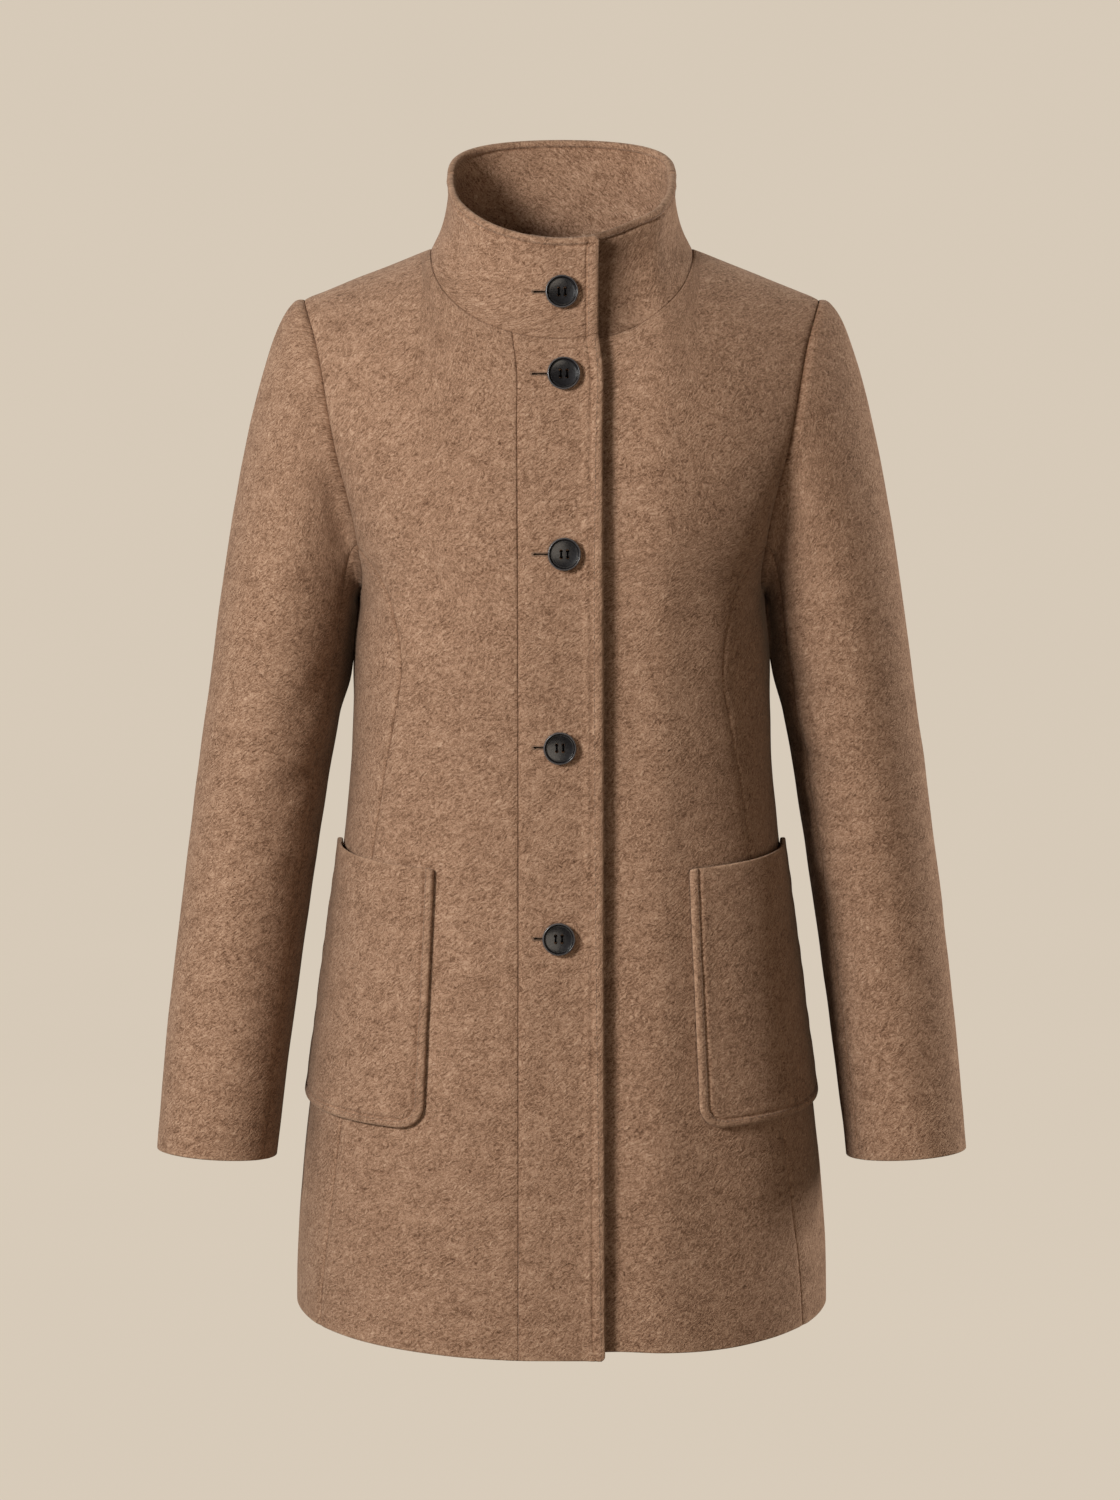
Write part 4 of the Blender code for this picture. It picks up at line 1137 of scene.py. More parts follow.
# %% Collar
COLLAR_CLOTH = 0.0035
COLLAR_HALF, COLLAR_FRONT, COLLAR_BACK, COLLAR_SQUARE = 0.0822, 0.084, 0.060, 2.38
COLLAR_TOP_FRONT, COLLAR_TOP_SIDE, COLLAR_TOP_BACK = 0.0125, 0.055, 0.077
COLLAR_HEIGHT = 0.072
COLLAR_HOLLOW = 2.8
COLLAR_STEP = 0.0030


def collar_points():
    lead, seam = (coat_point(*band_edge(name)[1][-1])[0] for name in ("leading_edge", "seam"))
    curves = [
        neckline(lead, seam),
        neckline(seam, -NECK_HALF),
        neckline(-NECK_HALF, NECK_HALF, True),
        neckline(NECK_HALF, UNDERLAP),
    ]
    curve, shares, _ = run(curves, welt_marks(BAND_WELT), TURNED_MARKS, COLLAR_STEP)
    stretch = np.concatenate([np.full(len(s) - (k > 0), k) for k, s in enumerate(shares)])
    behind, under = stretch == 2, stretch == 3
    base = coat_point(curve[:, 0], curve[:, 1])
    body_out = coat_normal(curve[:, 0], curve[:, 1])
    share_out = base[:, 0] / NECK_HALF
    top_x = base[:, 0] * (1 - (1 - COLLAR_HALF / NECK_HALF) * share_out ** 2)
    share = np.clip(np.abs(top_x) / COLLAR_HALF, 0.0, 1.0)
    facing = (1 - share ** COLLAR_SQUARE) ** (1 / COLLAR_SQUARE) * np.where(behind, -1.0, 1.0)
    top_y = np.where(facing > 0, -COLLAR_FRONT, -COLLAR_BACK) * facing
    angle = np.arctan2(share, facing)
    middle = (COLLAR_TOP_FRONT + COLLAR_TOP_BACK) / 2 - COLLAR_TOP_SIDE
    swing = (COLLAR_TOP_BACK - COLLAR_TOP_FRONT) / 2
    top_z = COLLAR_TOP_SIDE - swing * np.cos(angle) + middle * np.cos(angle) ** 2
    top = np.stack([top_x, top_y, top_z], -1)
    away = np.cross(body_out, unit(np.gradient(base, axis=0)))
    away *= np.sign(np.sum(away * (top - base), -1, keepdims=True))
    start = base + SEAM_GAP / 2 * away
    rows = []
    for w in spread(COLLAR_HEIGHT, SEWN_MARKS, welt_marks(COLLAR_WELT), COLLAR_STEP):
        inwards = 1 - (1 - w) ** COLLAR_HOLLOW
        rows.append(start + (top - start) * np.array([inwards, inwards, w]))
    points = np.stack(rows, 1)
    distances = edge_distances(points)[0]
    cut = corner_cut(distances["left"], LEAD_CORNER) * (1 - ease(distances["top"], 0.0, 3 * LEAD_CORNER))
    points[..., 2] -= cut
    normals = seam_normals(points, grid_normals(points, points.mean(0)[None]), body_out)
    drop = np.where(under, under_drop(base[:, 0]), 0.0)[:, None, None]
    return points - drop * normals, normals


def make_collar():
    points, normals = collar_points()
    lift = fold_heights(points, FOLDS)[..., None] + stands_off(points[::-1])[::-1]
    edges = {"left": BAND_WELT, "right": "turned", "bottom": "pressed", "top": COLLAR_WELT}
    return shell("collar", points + lift * normals, normals, COLLAR_CLOTH, edges, inside_welts=True)


make_collar()
print("collar columns and rows:", outer_faces["collar"].shape[:2])

# %% [markdown]
# ## The patch pockets
#
# A patch pocket is cut square with one round corner, and sewn flat on the front along three
# sides, a foot's width inside its edge. The mouth is open and stands off the coat a little. Its
# grid is a rectangle on the coat surface whose corner is slid onto arcs, so the welt follows it.

# %% Pockets
POCKET_TOP, POCKET_TOP_FALL, POCKET_BOTTOM = -0.4325, 0.004, -0.6258
POCKET_INNER_TOP, POCKET_INNER_BOTTOM = 0.0912, 0.0998
POCKET_OUTER_TURN = 86.0
POCKET_CORNER = 0.018
POCKET_CLOTH, POCKET_GAP = 0.0030, 0.0009
MOUTH_STANDS_OFF, MOUTH_FROM, MOUTH_FULLNESS = 0.0042, 0.60, 0.6
MOUTH_ENDS = 0.86             # share of the width over which the mouth stands off
MOUTH_CORNERS = (0.0025, 0.0060)        # radius of its inner and its outer corner
MOUTH_CORNER_FROM = 0.9       # share of the height above which the corners are cut
POCKET_STEP = 0.0030


def round_corner(grid, turn_size):
    """Slides the places in the corner's square onto arcs; turn_size is the turn for one metre."""
    scale = np.array([turn_size, 1.0])
    centre = grid[0, 0] + POCKET_CORNER * scale
    offset = (grid - centre) / scale
    inside = (offset < -1e-9).all(-1)
    reach = np.abs(offset[inside]).max(-1, keepdims=True)
    length = np.linalg.norm(offset[inside], axis=-1, keepdims=True)
    grid[inside] = centre + offset[inside] * reach / length * scale


def make_pocket(side, label):
    low, low_height = place(POCKET_INNER_BOTTOM, POCKET_BOTTOM)
    high, high_height = place(POCKET_INNER_TOP, POCKET_TOP - POCKET_TOP_FALL)
    outer_turn = math.radians(POCKET_OUTER_TURN)
    edge = np.stack([np.linspace(low, outer_turn, FINE), np.full(FINE, POCKET_BOTTOM)], -1)
    width, height = cloth_length(edge)[-1], POCKET_TOP - POCKET_BOTTOM
    u = spread(width, welt_marks(POCKET_WELT), welt_marks(POCKET_WELT), POCKET_STEP)[:, None]
    v = spread(height, welt_marks(POCKET_WELT), TURNED_MARKS, POCKET_STEP)[None, :]
    inner_turn = low + (high - low) * v
    top = high_height + (POCKET_TOP - high_height) * u
    grid = np.stack([inner_turn + (outer_turn - inner_turn) * u, low_height + (top - low_height) * v], -1)
    mouth_corners = corner_cut(u * width, MOUTH_CORNERS[0]) + corner_cut((1 - u) * width, MOUTH_CORNERS[1])
    grid[..., 1] -= mouth_corners * ease(v, MOUTH_CORNER_FROM, 1.0)
    round_corner(grid, (outer_turn - low) / width)
    grid[..., 0] *= side
    normals = coat_normal(grid[..., 0], grid[..., 1])
    bow = np.sin(math.pi * np.clip(u / MOUTH_ENDS, 0, 1)) ** MOUTH_FULLNESS * ease(v, MOUTH_FROM, 1.0)
    stand = POCKET_GAP + POCKET_CLOTH + MOUTH_STANDS_OFF * bow[..., None]
    points = coat_point(grid[..., 0], grid[..., 1]) + stand * normals
    points = points + fold_heights(points, FOLDS)[..., None] * normals
    from_inner = np.broadcast_to(u * width, grid.shape[:2])
    from_bottom = np.broadcast_to(v * height, grid.shape[:2])
    sewn_side = np.minimum(np.minimum(from_inner, width - from_inner), from_bottom)
    distances = {"left": sewn_side, "top": height - from_bottom}
    edges = {"left": POCKET_WELT, "top": "turned"}
    return shell("pocket_" + label, points, normals, POCKET_CLOTH, edges, distances)


for side, label in SIDES:
    make_pocket(side, label)
print("pocket columns and rows:", outer_faces["pocket_left"].shape[:2])

# %% [markdown]
# ## Hollows
#
# Inside the collar, in the armpits and behind a lap, shade is painted into the wool's colour: it is
# made darker and redder there. From places spread over each piece, short rays look around: the share
# of them that meets other cloth, and how near it is, says how hollow the place is.

# %% How hollow each place is
HOLLOW_EVERY = 4              # grid lines from one measured place to the next
HOLLOW_REACH = 0.20
HOLLOW_RAYS = 24
HOLLOW_START = 0.0015
ASKEW = (0.1, 0.3, 1.0)       # a direction that no piece faces, to turn the fan by
LIES_CLOSE = ("pocket_right", "pocket_left", "button_band")   # these would darken what they cover


def ray_fan():
    """Directions over a half sphere, closer together towards its middle, the third axis."""
    share = (np.arange(HOLLOW_RAYS) + 0.5) / HOLLOW_RAYS
    turn = np.arange(HOLLOW_RAYS) * math.pi * (3 - math.sqrt(5))
    return np.stack([np.sqrt(share) * np.cos(turn), np.sqrt(share) * np.sin(turn), np.sqrt(1 - share)], -1)


def measured_lines(grid):
    """The columns and rows of a grid that are measured, with its last ones."""
    return [np.unique(np.append(np.arange(0, n, HOLLOW_EVERY), n - 1)) for n in grid.shape[:2]]


def coarse_cloth():
    """The outer faces as one light mesh for the rays to meet."""
    points, faces, count = [], [], 0
    for name, face in outer_faces.items():
        if name in LIES_CLOSE:
            continue
        coarse = face[np.ix_(*measured_lines(face))]
        number = np.arange(coarse[..., 0].size).reshape(coarse.shape[:2]) + count
        faces += grid_faces(number).tolist()
        points += coarse.reshape(-1, 3).tolist()
        count = len(points)
    return BVHTree.FromPolygons(points, faces)


def hollowness(points, normals, cloth, fan):
    """The share of the fan's rays that meet cloth from each point; a near hit counts for more."""
    found = np.zeros(points.shape[:2])
    for at in np.ndindex(*found.shape):
        across = unit(np.cross(normals[at], ASKEW))
        rays = fan @ np.stack([across, np.cross(normals[at], across), normals[at]])
        start = Vector(points[at] + HOLLOW_START * normals[at])
        away = [cloth.ray_cast(start, Vector(ray), HOLLOW_REACH)[3] for ray in rays]
        found[at] = sum((1 - d / HOLLOW_REACH) ** 2 for d in away if d is not None) / HOLLOW_RAYS
    return found


def at_every_line(values, lines, shape):
    """Reads values from the measured lines at all lines of the grid."""
    wide = read_rows(np.arange(shape[1]), lines[1], values.T).T
    return read_rows(np.arange(shape[0]), lines[0], wide)


# piece that runs on under the lap: how far the lap's shade reaches past its edge, and its depth
LAP_SHADES = {"front_left": (0.0055, 0.45), "collar": (0.030, 0.48)}


def lap_shade(points, reach, depth):
    past = points[..., 0] - smooth_read(BAND["height"], BAND["leading_edge"], points[..., 2])
    in_front = (past > 0) & (points[..., 1] < 0)
    return np.where(in_front, depth * np.exp(-(past / reach) ** 2), 0.0)


def measure_hollows():
    """Stores on each piece how hollow its outside and its inside are, from point to point."""
    cloth, fan = coarse_cloth(), ray_fan()
    for name, obj in cloth_pieces.items():
        outer, inner = outer_faces[name], inner_faces[name]
        lines = measured_lines(outer)
        few = np.ix_(*lines)
        out = unit(outer - inner)[few]
        sides = [hollowness(outer[few], out, cloth, fan), hollowness(inner[few], -out, cloth, fan)]
        full = [at_every_line(values, lines, outer.shape) for values in sides]
        # beside the lap's leading edge a painted shadow joins the painted shade
        if name in LAP_SHADES:
            full[0] = np.maximum(full[0], lap_shade(outer, *LAP_SHADES[name]))
        store(obj, "hollow", np.concatenate([values.ravel() for values in full]), "FLOAT")
        print(name, "hollow outside", round(sides[0].mean(), 2), "inside", round(sides[1].mean(), 2))


measure_hollows()

# %% [markdown]
# ## Topstitching
#
# A lockstitch shows as short grains of thread, end to end, sunk in the groove that it pulls. One
# grain is a stretched ball; copies of it are laid along a grid line of the piece and joined into
# one mesh, which is far lighter than an object for each stitch. The thread matches the cloth.

# %% Grains of thread
STITCH_PITCH = 0.0038
STITCH_SIZE = (0.0016, 0.00034, 0.00030)      # half length, half width, half height
STITCH_SUNK = 0.00005
THREAD_SIDES, THREAD_RINGS = 7, 5


def unit_ball(sides, rings):
    bm = bmesh.new()
    bmesh.ops.create_uvsphere(bm, u_segments=sides, v_segments=rings, radius=1.0)
    bm.verts.index_update()
    points = np.array([v.co for v in bm.verts])
    faces = [[v.index for v in face.verts] for face in bm.faces]
    bm.free()
    return points, faces


BALL_POINTS, BALL_FACES = unit_ball(THREAD_SIDES, THREAD_RINGS)


def grains(name, centres, along_axes, out_axes, size):
    """One mesh of thread grains; each lies along its own axis."""
    points, faces = [], []
    for centre, line, out in zip(centres, along_axes, out_axes):
        side = np.cross(out, line)
        frame_of_grain = np.stack([line, side, out]) * np.array(size)[:, None]
        faces += [[k + len(points) * len(BALL_POINTS) for k in face] for face in BALL_FACES]
        points.append(centre + BALL_POINTS @ frame_of_grain)
    return mesh_object(name, np.concatenate(points), faces)


sewn_on = {}


def sew(name, piece, cells, inside=False):
    """A row of stitches along these cells (column, row) of a piece's grid."""
    columns, rows = np.array(cells).T
    outer, inner = outer_faces[piece][columns, rows], inner_faces[piece][columns, rows]
    out = unit(inner - outer if inside else outer - inner)
    line = inner if inside else outer
    length = np.concatenate([[0.0], np.cumsum(np.linalg.norm(np.diff(line, axis=0), axis=1))])
    at = np.arange(STITCH_PITCH / 2, length[-1] - STITCH_PITCH / 2, STITCH_PITCH)
    centres, normals = read_rows(at, length, line), unit(read_rows(at, length, out))
    ends = [read_rows(at + way * STITCH_PITCH / 3, length, line) for way in (1, -1)]
    axes = unit(ends[0] - ends[1])
    obj = grains("stitches_" + name, centres - STITCH_SUNK * normals, axes, normals, STITCH_SIZE)
    sewn_on.setdefault(piece, []).append(obj)
    return len(at)


def column_at(piece, away, from_last=False):
    across = cumulative(outer_faces[piece], 0)[:, outer_faces[piece].shape[1] // 2]
    return int(np.argmin(np.abs((across[-1] - across if from_last else across) - away)))


def row_at(piece, away, from_last=False):
    up = cumulative(outer_faces[piece], 1)[len(outer_faces[piece]) // 2]
    return int(np.argmin(np.abs((up[-1] - up if from_last else up) - away)))


# %% Rows of stitches
def stitch_band():
    welt, rows = column_at("button_band", BAND_WELT, True), outer_faces["button_band"].shape[1]
    return sew("leading_edge", "button_band", [(welt, j) for j in range(rows)])


def stitch_collar():
    columns = len(outer_faces["collar"])
    lead, top = column_at("collar", BAND_WELT), row_at("collar", COLLAR_WELT, True)
    up_and_round = [(lead, j) for j in range(top)] + [(i, top) for i in range(lead, columns)]
    outside = sew("collar_outside", "collar", up_and_round)
    return outside + sew("collar_inside", "collar", [(i, top) for i in range(columns)], inside=True)


def stitch_pocket(piece):
    rows = outer_faces[piece].shape[1]
    inner, outer = column_at(piece, POCKET_WELT), column_at(piece, POCKET_WELT, True)
    low = row_at(piece, POCKET_WELT)
    down = [(inner, j) for j in range(rows - 1, low, -1)]
    across = [(i, low) for i in range(inner, outer)]
    up = [(outer, j) for j in range(low, rows)]
    return sew(piece, piece, down + across + up)


counts = [stitch_band(), stitch_collar()] + [stitch_pocket("pocket_" + label) for _, label in SIDES]
print("stitches on band, collar and pockets:", counts)

# %% [markdown]
# ## Buttons
#
# The buttons are turned from dark horn-like resin: a raised rim, a narrow groove inside it and a
# shallow dish with four holes. A turned shape is a profile and a Screw modifier, and the holes
# are a Boolean. Thread joins the holes in two upright bars, and a wound shank under the button
# leaves room for the cloth of the buttonhole.

# %% One button
BUTTON_RADIUS = 0.0118
BUTTON_PROFILE = table(       # share of the radius, metres above the cloth, top to bottom
    "share height",
    (0.00, 0.00245), (0.25, 0.00250), (0.50, 0.00268), (0.70, 0.00300), (0.790, 0.00322),
    (0.825, 0.00312), (0.850, 0.00345), (0.875, 0.00435), (0.920, 0.00490), (0.970, 0.00470),
    (1.000, 0.00395), (0.995, 0.00320), (0.950, 0.00245), (0.800, 0.00175), (0.550, 0.00135),
    (0.00, 0.00125),
)
PROFILE_STEPS = 60
BUTTON_STEPS = 72
HOLE_RADIUS, HOLE_OFFSET, HOLE_SIDES = 0.00125, 0.0023, 20
DRILL = 0.012                 # length of the drill
RIM_EDGE = math.radians(42)   # steeper edges than this stay sharp


def button_mesh():
    radius = np.maximum(BUTTON_RADIUS * read_evenly(BUTTON_PROFILE["share"], PROFILE_STEPS), 0.0)
    height = read_evenly(BUTTON_PROFILE["height"], PROFILE_STEPS)
    profile = np.stack([radius, np.zeros_like(radius), height], -1).tolist()
    blank, turned = turned_object("button_blank", profile, BUTTON_STEPS)
    turned.use_merge_vertices = True
    turned.merge_threshold = 0.00001
    bm = bmesh.new()
    for x, y in ((1, 1), (-1, 1), (-1, -1), (1, -1)):
        made = bmesh.ops.create_cone(bm, cap_ends=True, segments=HOLE_SIDES, radius1=HOLE_RADIUS,
                                     radius2=HOLE_RADIUS, depth=DRILL)
        bmesh.ops.translate(bm, verts=made["verts"], vec=Vector((x, y, 0.0)) * HOLE_OFFSET)
    drill_mesh = bpy.data.meshes.new("thread_holes")
    bm.to_mesh(drill_mesh)
    bm.free()
    drill = new_object("thread_holes", drill_mesh)
    bored = blank.modifiers.new("bored", "BOOLEAN")
    bored.object = drill
    bpy.context.view_layer.update()
    graph = bpy.context.evaluated_depsgraph_get()
    mesh = bpy.data.meshes.new_from_object(blank.evaluated_get(graph))
    mesh.name = "horn_button"
    mesh.materials.clear()
    mesh.shade_smooth()
    mesh.set_sharp_from_angle(angle=RIM_EDGE)
    for helper in (blank, drill):
        bpy.data.objects.remove(helper, do_unlink=True)
    return mesh


turned_button = button_mesh()
print("faces of a button:", len(turned_button.polygons))

# %% Where each button sits
BUTTON_NODES = [f"button_{k}" for k in range(1, 6)]
CLOTH_TO_BUTTON = 0.0012      # between the cloth and the solid's flat underside


def button_frame(node):
    """The matrix of a button, read from its own solid: its middle, and the axis it was turned on."""
    points = np.array([tuple(v.co) for v in bpy.data.objects[node].data.vertices])
    middle = points.mean(0)
    axis = np.linalg.svd(points - middle)[2][-1]
    axis *= -math.copysign(1.0, axis[1])
    under = ((points - middle) @ axis).min()
    foot = middle + (under - CLOTH_TO_BUTTON) * axis
    turn = Vector(axis).to_track_quat("Z", "Y")
    return Matrix.Translation(Vector(foot)) @ turn.to_matrix().to_4x4()


button_frames = {node: button_frame(node) for node in BUTTON_NODES}
horn_buttons = {}
for node, where in button_frames.items():
    obj = new_object("horn_" + node, turned_button)
    obj.matrix_world = where
    horn_buttons[node] = obj
print("buttons at", {node: [round(c, 4) for c in m.translation] for node, m in button_frames.items()})


# %% Button thread
BAR_HALF, BAR_RISE, BAR_SPREAD = 0.0025, 0.0001, 0.00042
BAR_DIVES, BAR_POINTS = 0.0016, 15      # how deep its ends go into the holes
THREAD_RADIUS = 0.00026
SHANK_RADIUS, SHANK_TURNS, SHANK_ENDS = 0.0021, 5, (-0.0004, 0.0014)


def tube(path, radius, sides=8):
    """Points and faces of a closed round tube along a path."""
    path = np.asarray(path, float)
    line = unit(np.gradient(path, axis=0))
    hint = np.array([1.0, 0.0, 0.0]) if abs(line[0, 0]) < 0.8 else np.array([0.0, 0.0, 1.0])
    across = unit(np.cross(line, hint))
    other = np.cross(line, across)
    turn = np.arange(sides) * 2 * math.pi / sides
    ring = np.cos(turn)[None, :, None] * across[:, None] + np.sin(turn)[None, :, None] * other[:, None]
    points = (path[:, None] + radius * ring).reshape(-1, 3)
    number = np.arange(len(points)).reshape(len(path), sides)
    faces = grid_faces(np.concatenate([number, number[:, :1]], 1).T).tolist()
    return points, faces + [number[0, ::-1].tolist(), number[-1].tolist()]


def gathered(parts):
    """Several sets of points and faces as one."""
    points, faces, count = [], [], 0
    for part_points, part_faces in parts:
        faces += [[k + count for k in face] for face in part_faces]
        points.append(part_points)
        count += len(part_points)
    return np.concatenate(points), faces


def button_thread():
    parts = []
    dish = BUTTON_PROFILE["height"][1]
    for bar in (-HOLE_OFFSET, HOLE_OFFSET):
        for strand in (-1, 0, 1):
            t = np.linspace(-1, 1, BAR_POINTS)
            arch = dish + BAR_RISE * (1 - t ** 4) - BAR_DIVES * np.abs(t) ** 6 - BAR_RISE * abs(strand)
            x = np.full_like(t, bar + strand * BAR_SPREAD)
            parts.append(tube(np.stack([x, t * BAR_HALF, arch], -1), THREAD_RADIUS))
    turn = np.linspace(0, SHANK_TURNS * 2 * math.pi, SHANK_TURNS * 16)
    level = np.linspace(*SHANK_ENDS, len(turn))
    coil = np.stack([SHANK_RADIUS * np.cos(turn), SHANK_RADIUS * np.sin(turn), level], -1)
    parts.append(tube(coil, THREAD_RADIUS))
    return gathered(parts)


button_threads = {}
for node, where in button_frames.items():
    obj = mesh_object("thread_" + node, *button_thread())
    obj.matrix_world = where
    button_threads[node] = obj
print("thread pieces:", len(button_threads))

# %% [markdown]
# ## Buttonholes
#
# Each buttonhole is a level slit that starts under its button and ends towards the band's seam; the dark of
# its opening is a near-black strip of painted shade.
# Close purl stitches bind its two lips. A ray from the front finds the cloth under each point,
# so the slit and its stitches follow the band and the collar.

# %% The five buttonholes
# from each button's middle to its slit's far end, and to where the slit starts under the button
HOLE_REACH = dict(zip(BUTTON_NODES, (0.0205, 0.0228, 0.0222, 0.0190, 0.0180)))
HOLE_START = 0.0020
SLIT_HALF, SLIT_LIFT, SLIT_SUNK = 0.00065, 0.00035, 0.00005
SLIT_OPENS = (-0.0002, 0.0007)
SLIT_POINTS = 40
EYE_SIZE, EYE_WIDENS = 0.0011, 0.9      # the slit widens to an eye at its far end
PURL_PITCH = 0.00062
PURL_OUT = 0.00105
PURL_SIZE = (0.00075, 0.00027, 0.00026)
END_PURLS, END_TURN = 7, 1.2  # the purls round the far end, and how far round it they go


def front_face(piece):
    """Reads the point and normal of a piece's cloth, seen from the front at (x, height)."""
    mesh = cloth_pieces[piece].data
    tree = BVHTree.FromPolygons([v.co for v in mesh.vertices], [p.vertices for p in mesh.polygons])

    def read(x, height):
        point, normal, _, _ = tree.ray_cast(Vector((x, -1.0, height)), Vector((0.0, 1.0, 0.0)))
        return np.array(point), np.array(normal)
    return read


def make_buttonhole(node, piece):
    where = button_frames[node].translation
    read = front_face(piece)
    xs = np.linspace(where.x - HOLE_REACH[node], where.x - HOLE_START, SLIT_POINTS)
    points, normals = (np.array(v) for v in zip(*(read(x, where.z) for x in xs)))
    line = unit(np.gradient(points, axis=0))
    up = unit(np.cross(normals, line))
    from_end = xs - xs[0]
    eye = 1 + EYE_WIDENS * np.exp(-((from_end - EYE_SIZE) / EYE_SIZE) ** 2)
    half = SLIT_HALF * (eye * ease(from_end, *SLIT_OPENS))[:, None]
    edge = points - SLIT_SUNK * normals
    rim = np.concatenate([edge + half * up, points + SLIT_LIFT * normals, edge - half * up])
    number = np.arange(len(rim)).reshape(3, SLIT_POINTS)
    # the slit's opening: a near-black strip of painted shade
    slit = mesh_object("slit_" + node, rim, grid_faces(number.T).tolist())
    purls = []                # the place of each, the way it lies and the way out of the cloth
    for x in np.arange(xs[0], xs[-1], PURL_PITCH):
        for lip in (-1, 1):
            point, normal = read(x, where.z + lip * PURL_OUT)
            purls.append((point, unit(np.cross(normal, line[0])), normal))
    for turn in np.linspace(-END_TURN, END_TURN, END_PURLS):
        reach = np.array([-math.cos(turn), 0.0, math.sin(turn)]) * PURL_OUT
        point, normal = read(xs[0] + reach[0], where.z + reach[2])
        purls.append((point, unit(np.cross(normal, np.cross(reach, normal))), normal))
    bound = grains("purls_" + node, *zip(*purls), PURL_SIZE)
    sewn_on.setdefault(piece, []).extend([slit, bound])


for node in BUTTON_NODES:
    make_buttonhole(node, "collar" if node == "button_1" else "button_band")
print("buttonholes:", len(HOLE_REACH))

# %% [markdown]
# ## The wool
#
# The cloth is a heathered twill, milled and brushed until a nap hides most of the weave. Three
# things show: cloudy patches where the felt is denser, short curled fibres in lighter and darker
# brown, and here and there the slanting lines of the twill. Each is a node group: the cloth takes
# the fibres at several sizes, and the thread takes them too. On the cloth they read the flat place
# stored on each point, so the weave follows every piece's own grain, as it does when it is cut.

# %% Node groups for wool
# how many of each there are in a metre of cloth
SWIRLS, RIB_WANDERS, THIN_PATCHES = 130.0, 45.0, 26.0
STRAND_HALF = 0.07            # a hair is where a noise crosses its middle value, this far each way
CLOUD_SHAPE = (0.75, 1.25, 1.0)


def new_group(name, inputs, outputs):
    """A shader node group with named sockets. It returns the tree, what it is given, what it gives."""
    tree = bpy.data.node_groups.new(name, "ShaderNodeTree")
    for label, kind, value in inputs:
        socket = tree.interface.new_socket(name=label, in_out="INPUT", socket_type="NodeSocket" + kind)
        if value is not None:
            socket.default_value = value
    for label, kind in outputs:
        tree.interface.new_socket(name=label, in_out="OUTPUT", socket_type="NodeSocket" + kind)
    return tree, tree.nodes.new("NodeGroupInput").outputs, tree.nodes.new("NodeGroupOutput").inputs


def slanted(tree, cloth, angle):
    """The flat cloth, turned in its own plane."""
    inputs = {"Vector": cloth, "Angle": angle}
    return add_node(tree, "VectorRotate", inputs, rotation_type="Z_AXIS").outputs[0]


def fibre_group():
    """Curled fibres: noise drawn out along a slant, on a cloth that a slower noise has swirled."""
    tree, given, gives = new_group(
        "felted_fibres",
        [("Cloth", "Vector", None), ("Fineness", "Float", 300.0), ("Stretch", "Float", 3.0),
         ("Slant", "Float", 0.7), ("Curl", "Float", 0.002)],
        [("Fibre", "Float"), ("Strand", "Float")],
    )
    swirl = add_node(tree, "TexNoise", {"Vector": given["Cloth"], "Scale": SWIRLS, "Detail": 2.0})
    centred = maths(tree, "SUBTRACT", swirl.outputs["Color"], (0.5, 0.5, 0.5), kind="VectorMath")
    curl = add_node(tree, "VectorMath", {0: centred, "Scale": given["Curl"]}, operation="SCALE")
    moved = maths(tree, "ADD", given["Cloth"], curl.outputs[0], kind="VectorMath")
    thin = maths(tree, "DIVIDE", 1.0, given["Stretch"])
    narrow = add_node(tree, "CombineXYZ", {"X": thin, "Y": 1.0, "Z": 1.0}).outputs[0]
    drawn = maths(tree, "MULTIPLY", slanted(tree, moved, given["Slant"]), narrow, kind="VectorMath")
    fibre = noise_value(tree, drawn, given["Fineness"], 3.0, Roughness=0.6)
    tree.links.new(fibre, gives["Fibre"])
    hair = maths(tree, "SUBTRACT", noise_value(tree, drawn, given["Fineness"], 0.6), 0.5)
    strand = to_range(tree, maths(tree, "ABSOLUTE", hair), 0.0, STRAND_HALF, 1.0, 0.0)
    tree.links.new(strand, gives["Strand"])
    return tree


def twill_group():
    """The slanting ribs of the twill, showing only where the nap is thin."""
    tree, given, gives = new_group(
        "twill_ribs",
        [("Cloth", "Vector", None), ("Ribs", "Float", 380.0), ("Slant", "Float", 0.7)],
        [("Rib", "Float"), ("Bare", "Float")],
    )
    up = add_node(tree, "SeparateXYZ", {"Vector": slanted(tree, given["Cloth"], given["Slant"])})
    ribs = maths(tree, "MULTIPLY", up.outputs["Y"], given["Ribs"])
    wander = noise_value(tree, given["Cloth"], RIB_WANDERS, 3.0)
    turns = maths(tree, "MULTIPLY", maths(tree, "MULTIPLY_ADD", wander, 5.0, ribs), 2 * math.pi)
    tree.links.new(maths(tree, "SINE", turns), gives["Rib"])
    thin = noise_value(tree, given["Cloth"], THIN_PATCHES, 3.0)
    tree.links.new(to_range(tree, thin, 0.42, 0.62), gives["Bare"])
    return tree


def cloud_group():
    """Cloudy patches, wider than they are tall."""
    tree, given, gives = new_group(
        "felt_clouds",
        [("Cloth", "Vector", None), ("Size", "Float", 45.0)],
        [("Cloud", "Float")],
    )
    flat = maths(tree, "MULTIPLY", given["Cloth"], CLOUD_SHAPE, kind="VectorMath")
    cloud = noise_value(tree, flat, given["Size"], 5.0, Roughness=0.62, Distortion=0.7)
    tree.links.new(cloud, gives["Cloud"])
    return tree


groups = {tree.name: tree for tree in (fibre_group(), twill_group(), cloud_group())}
print("groups:", list(groups))

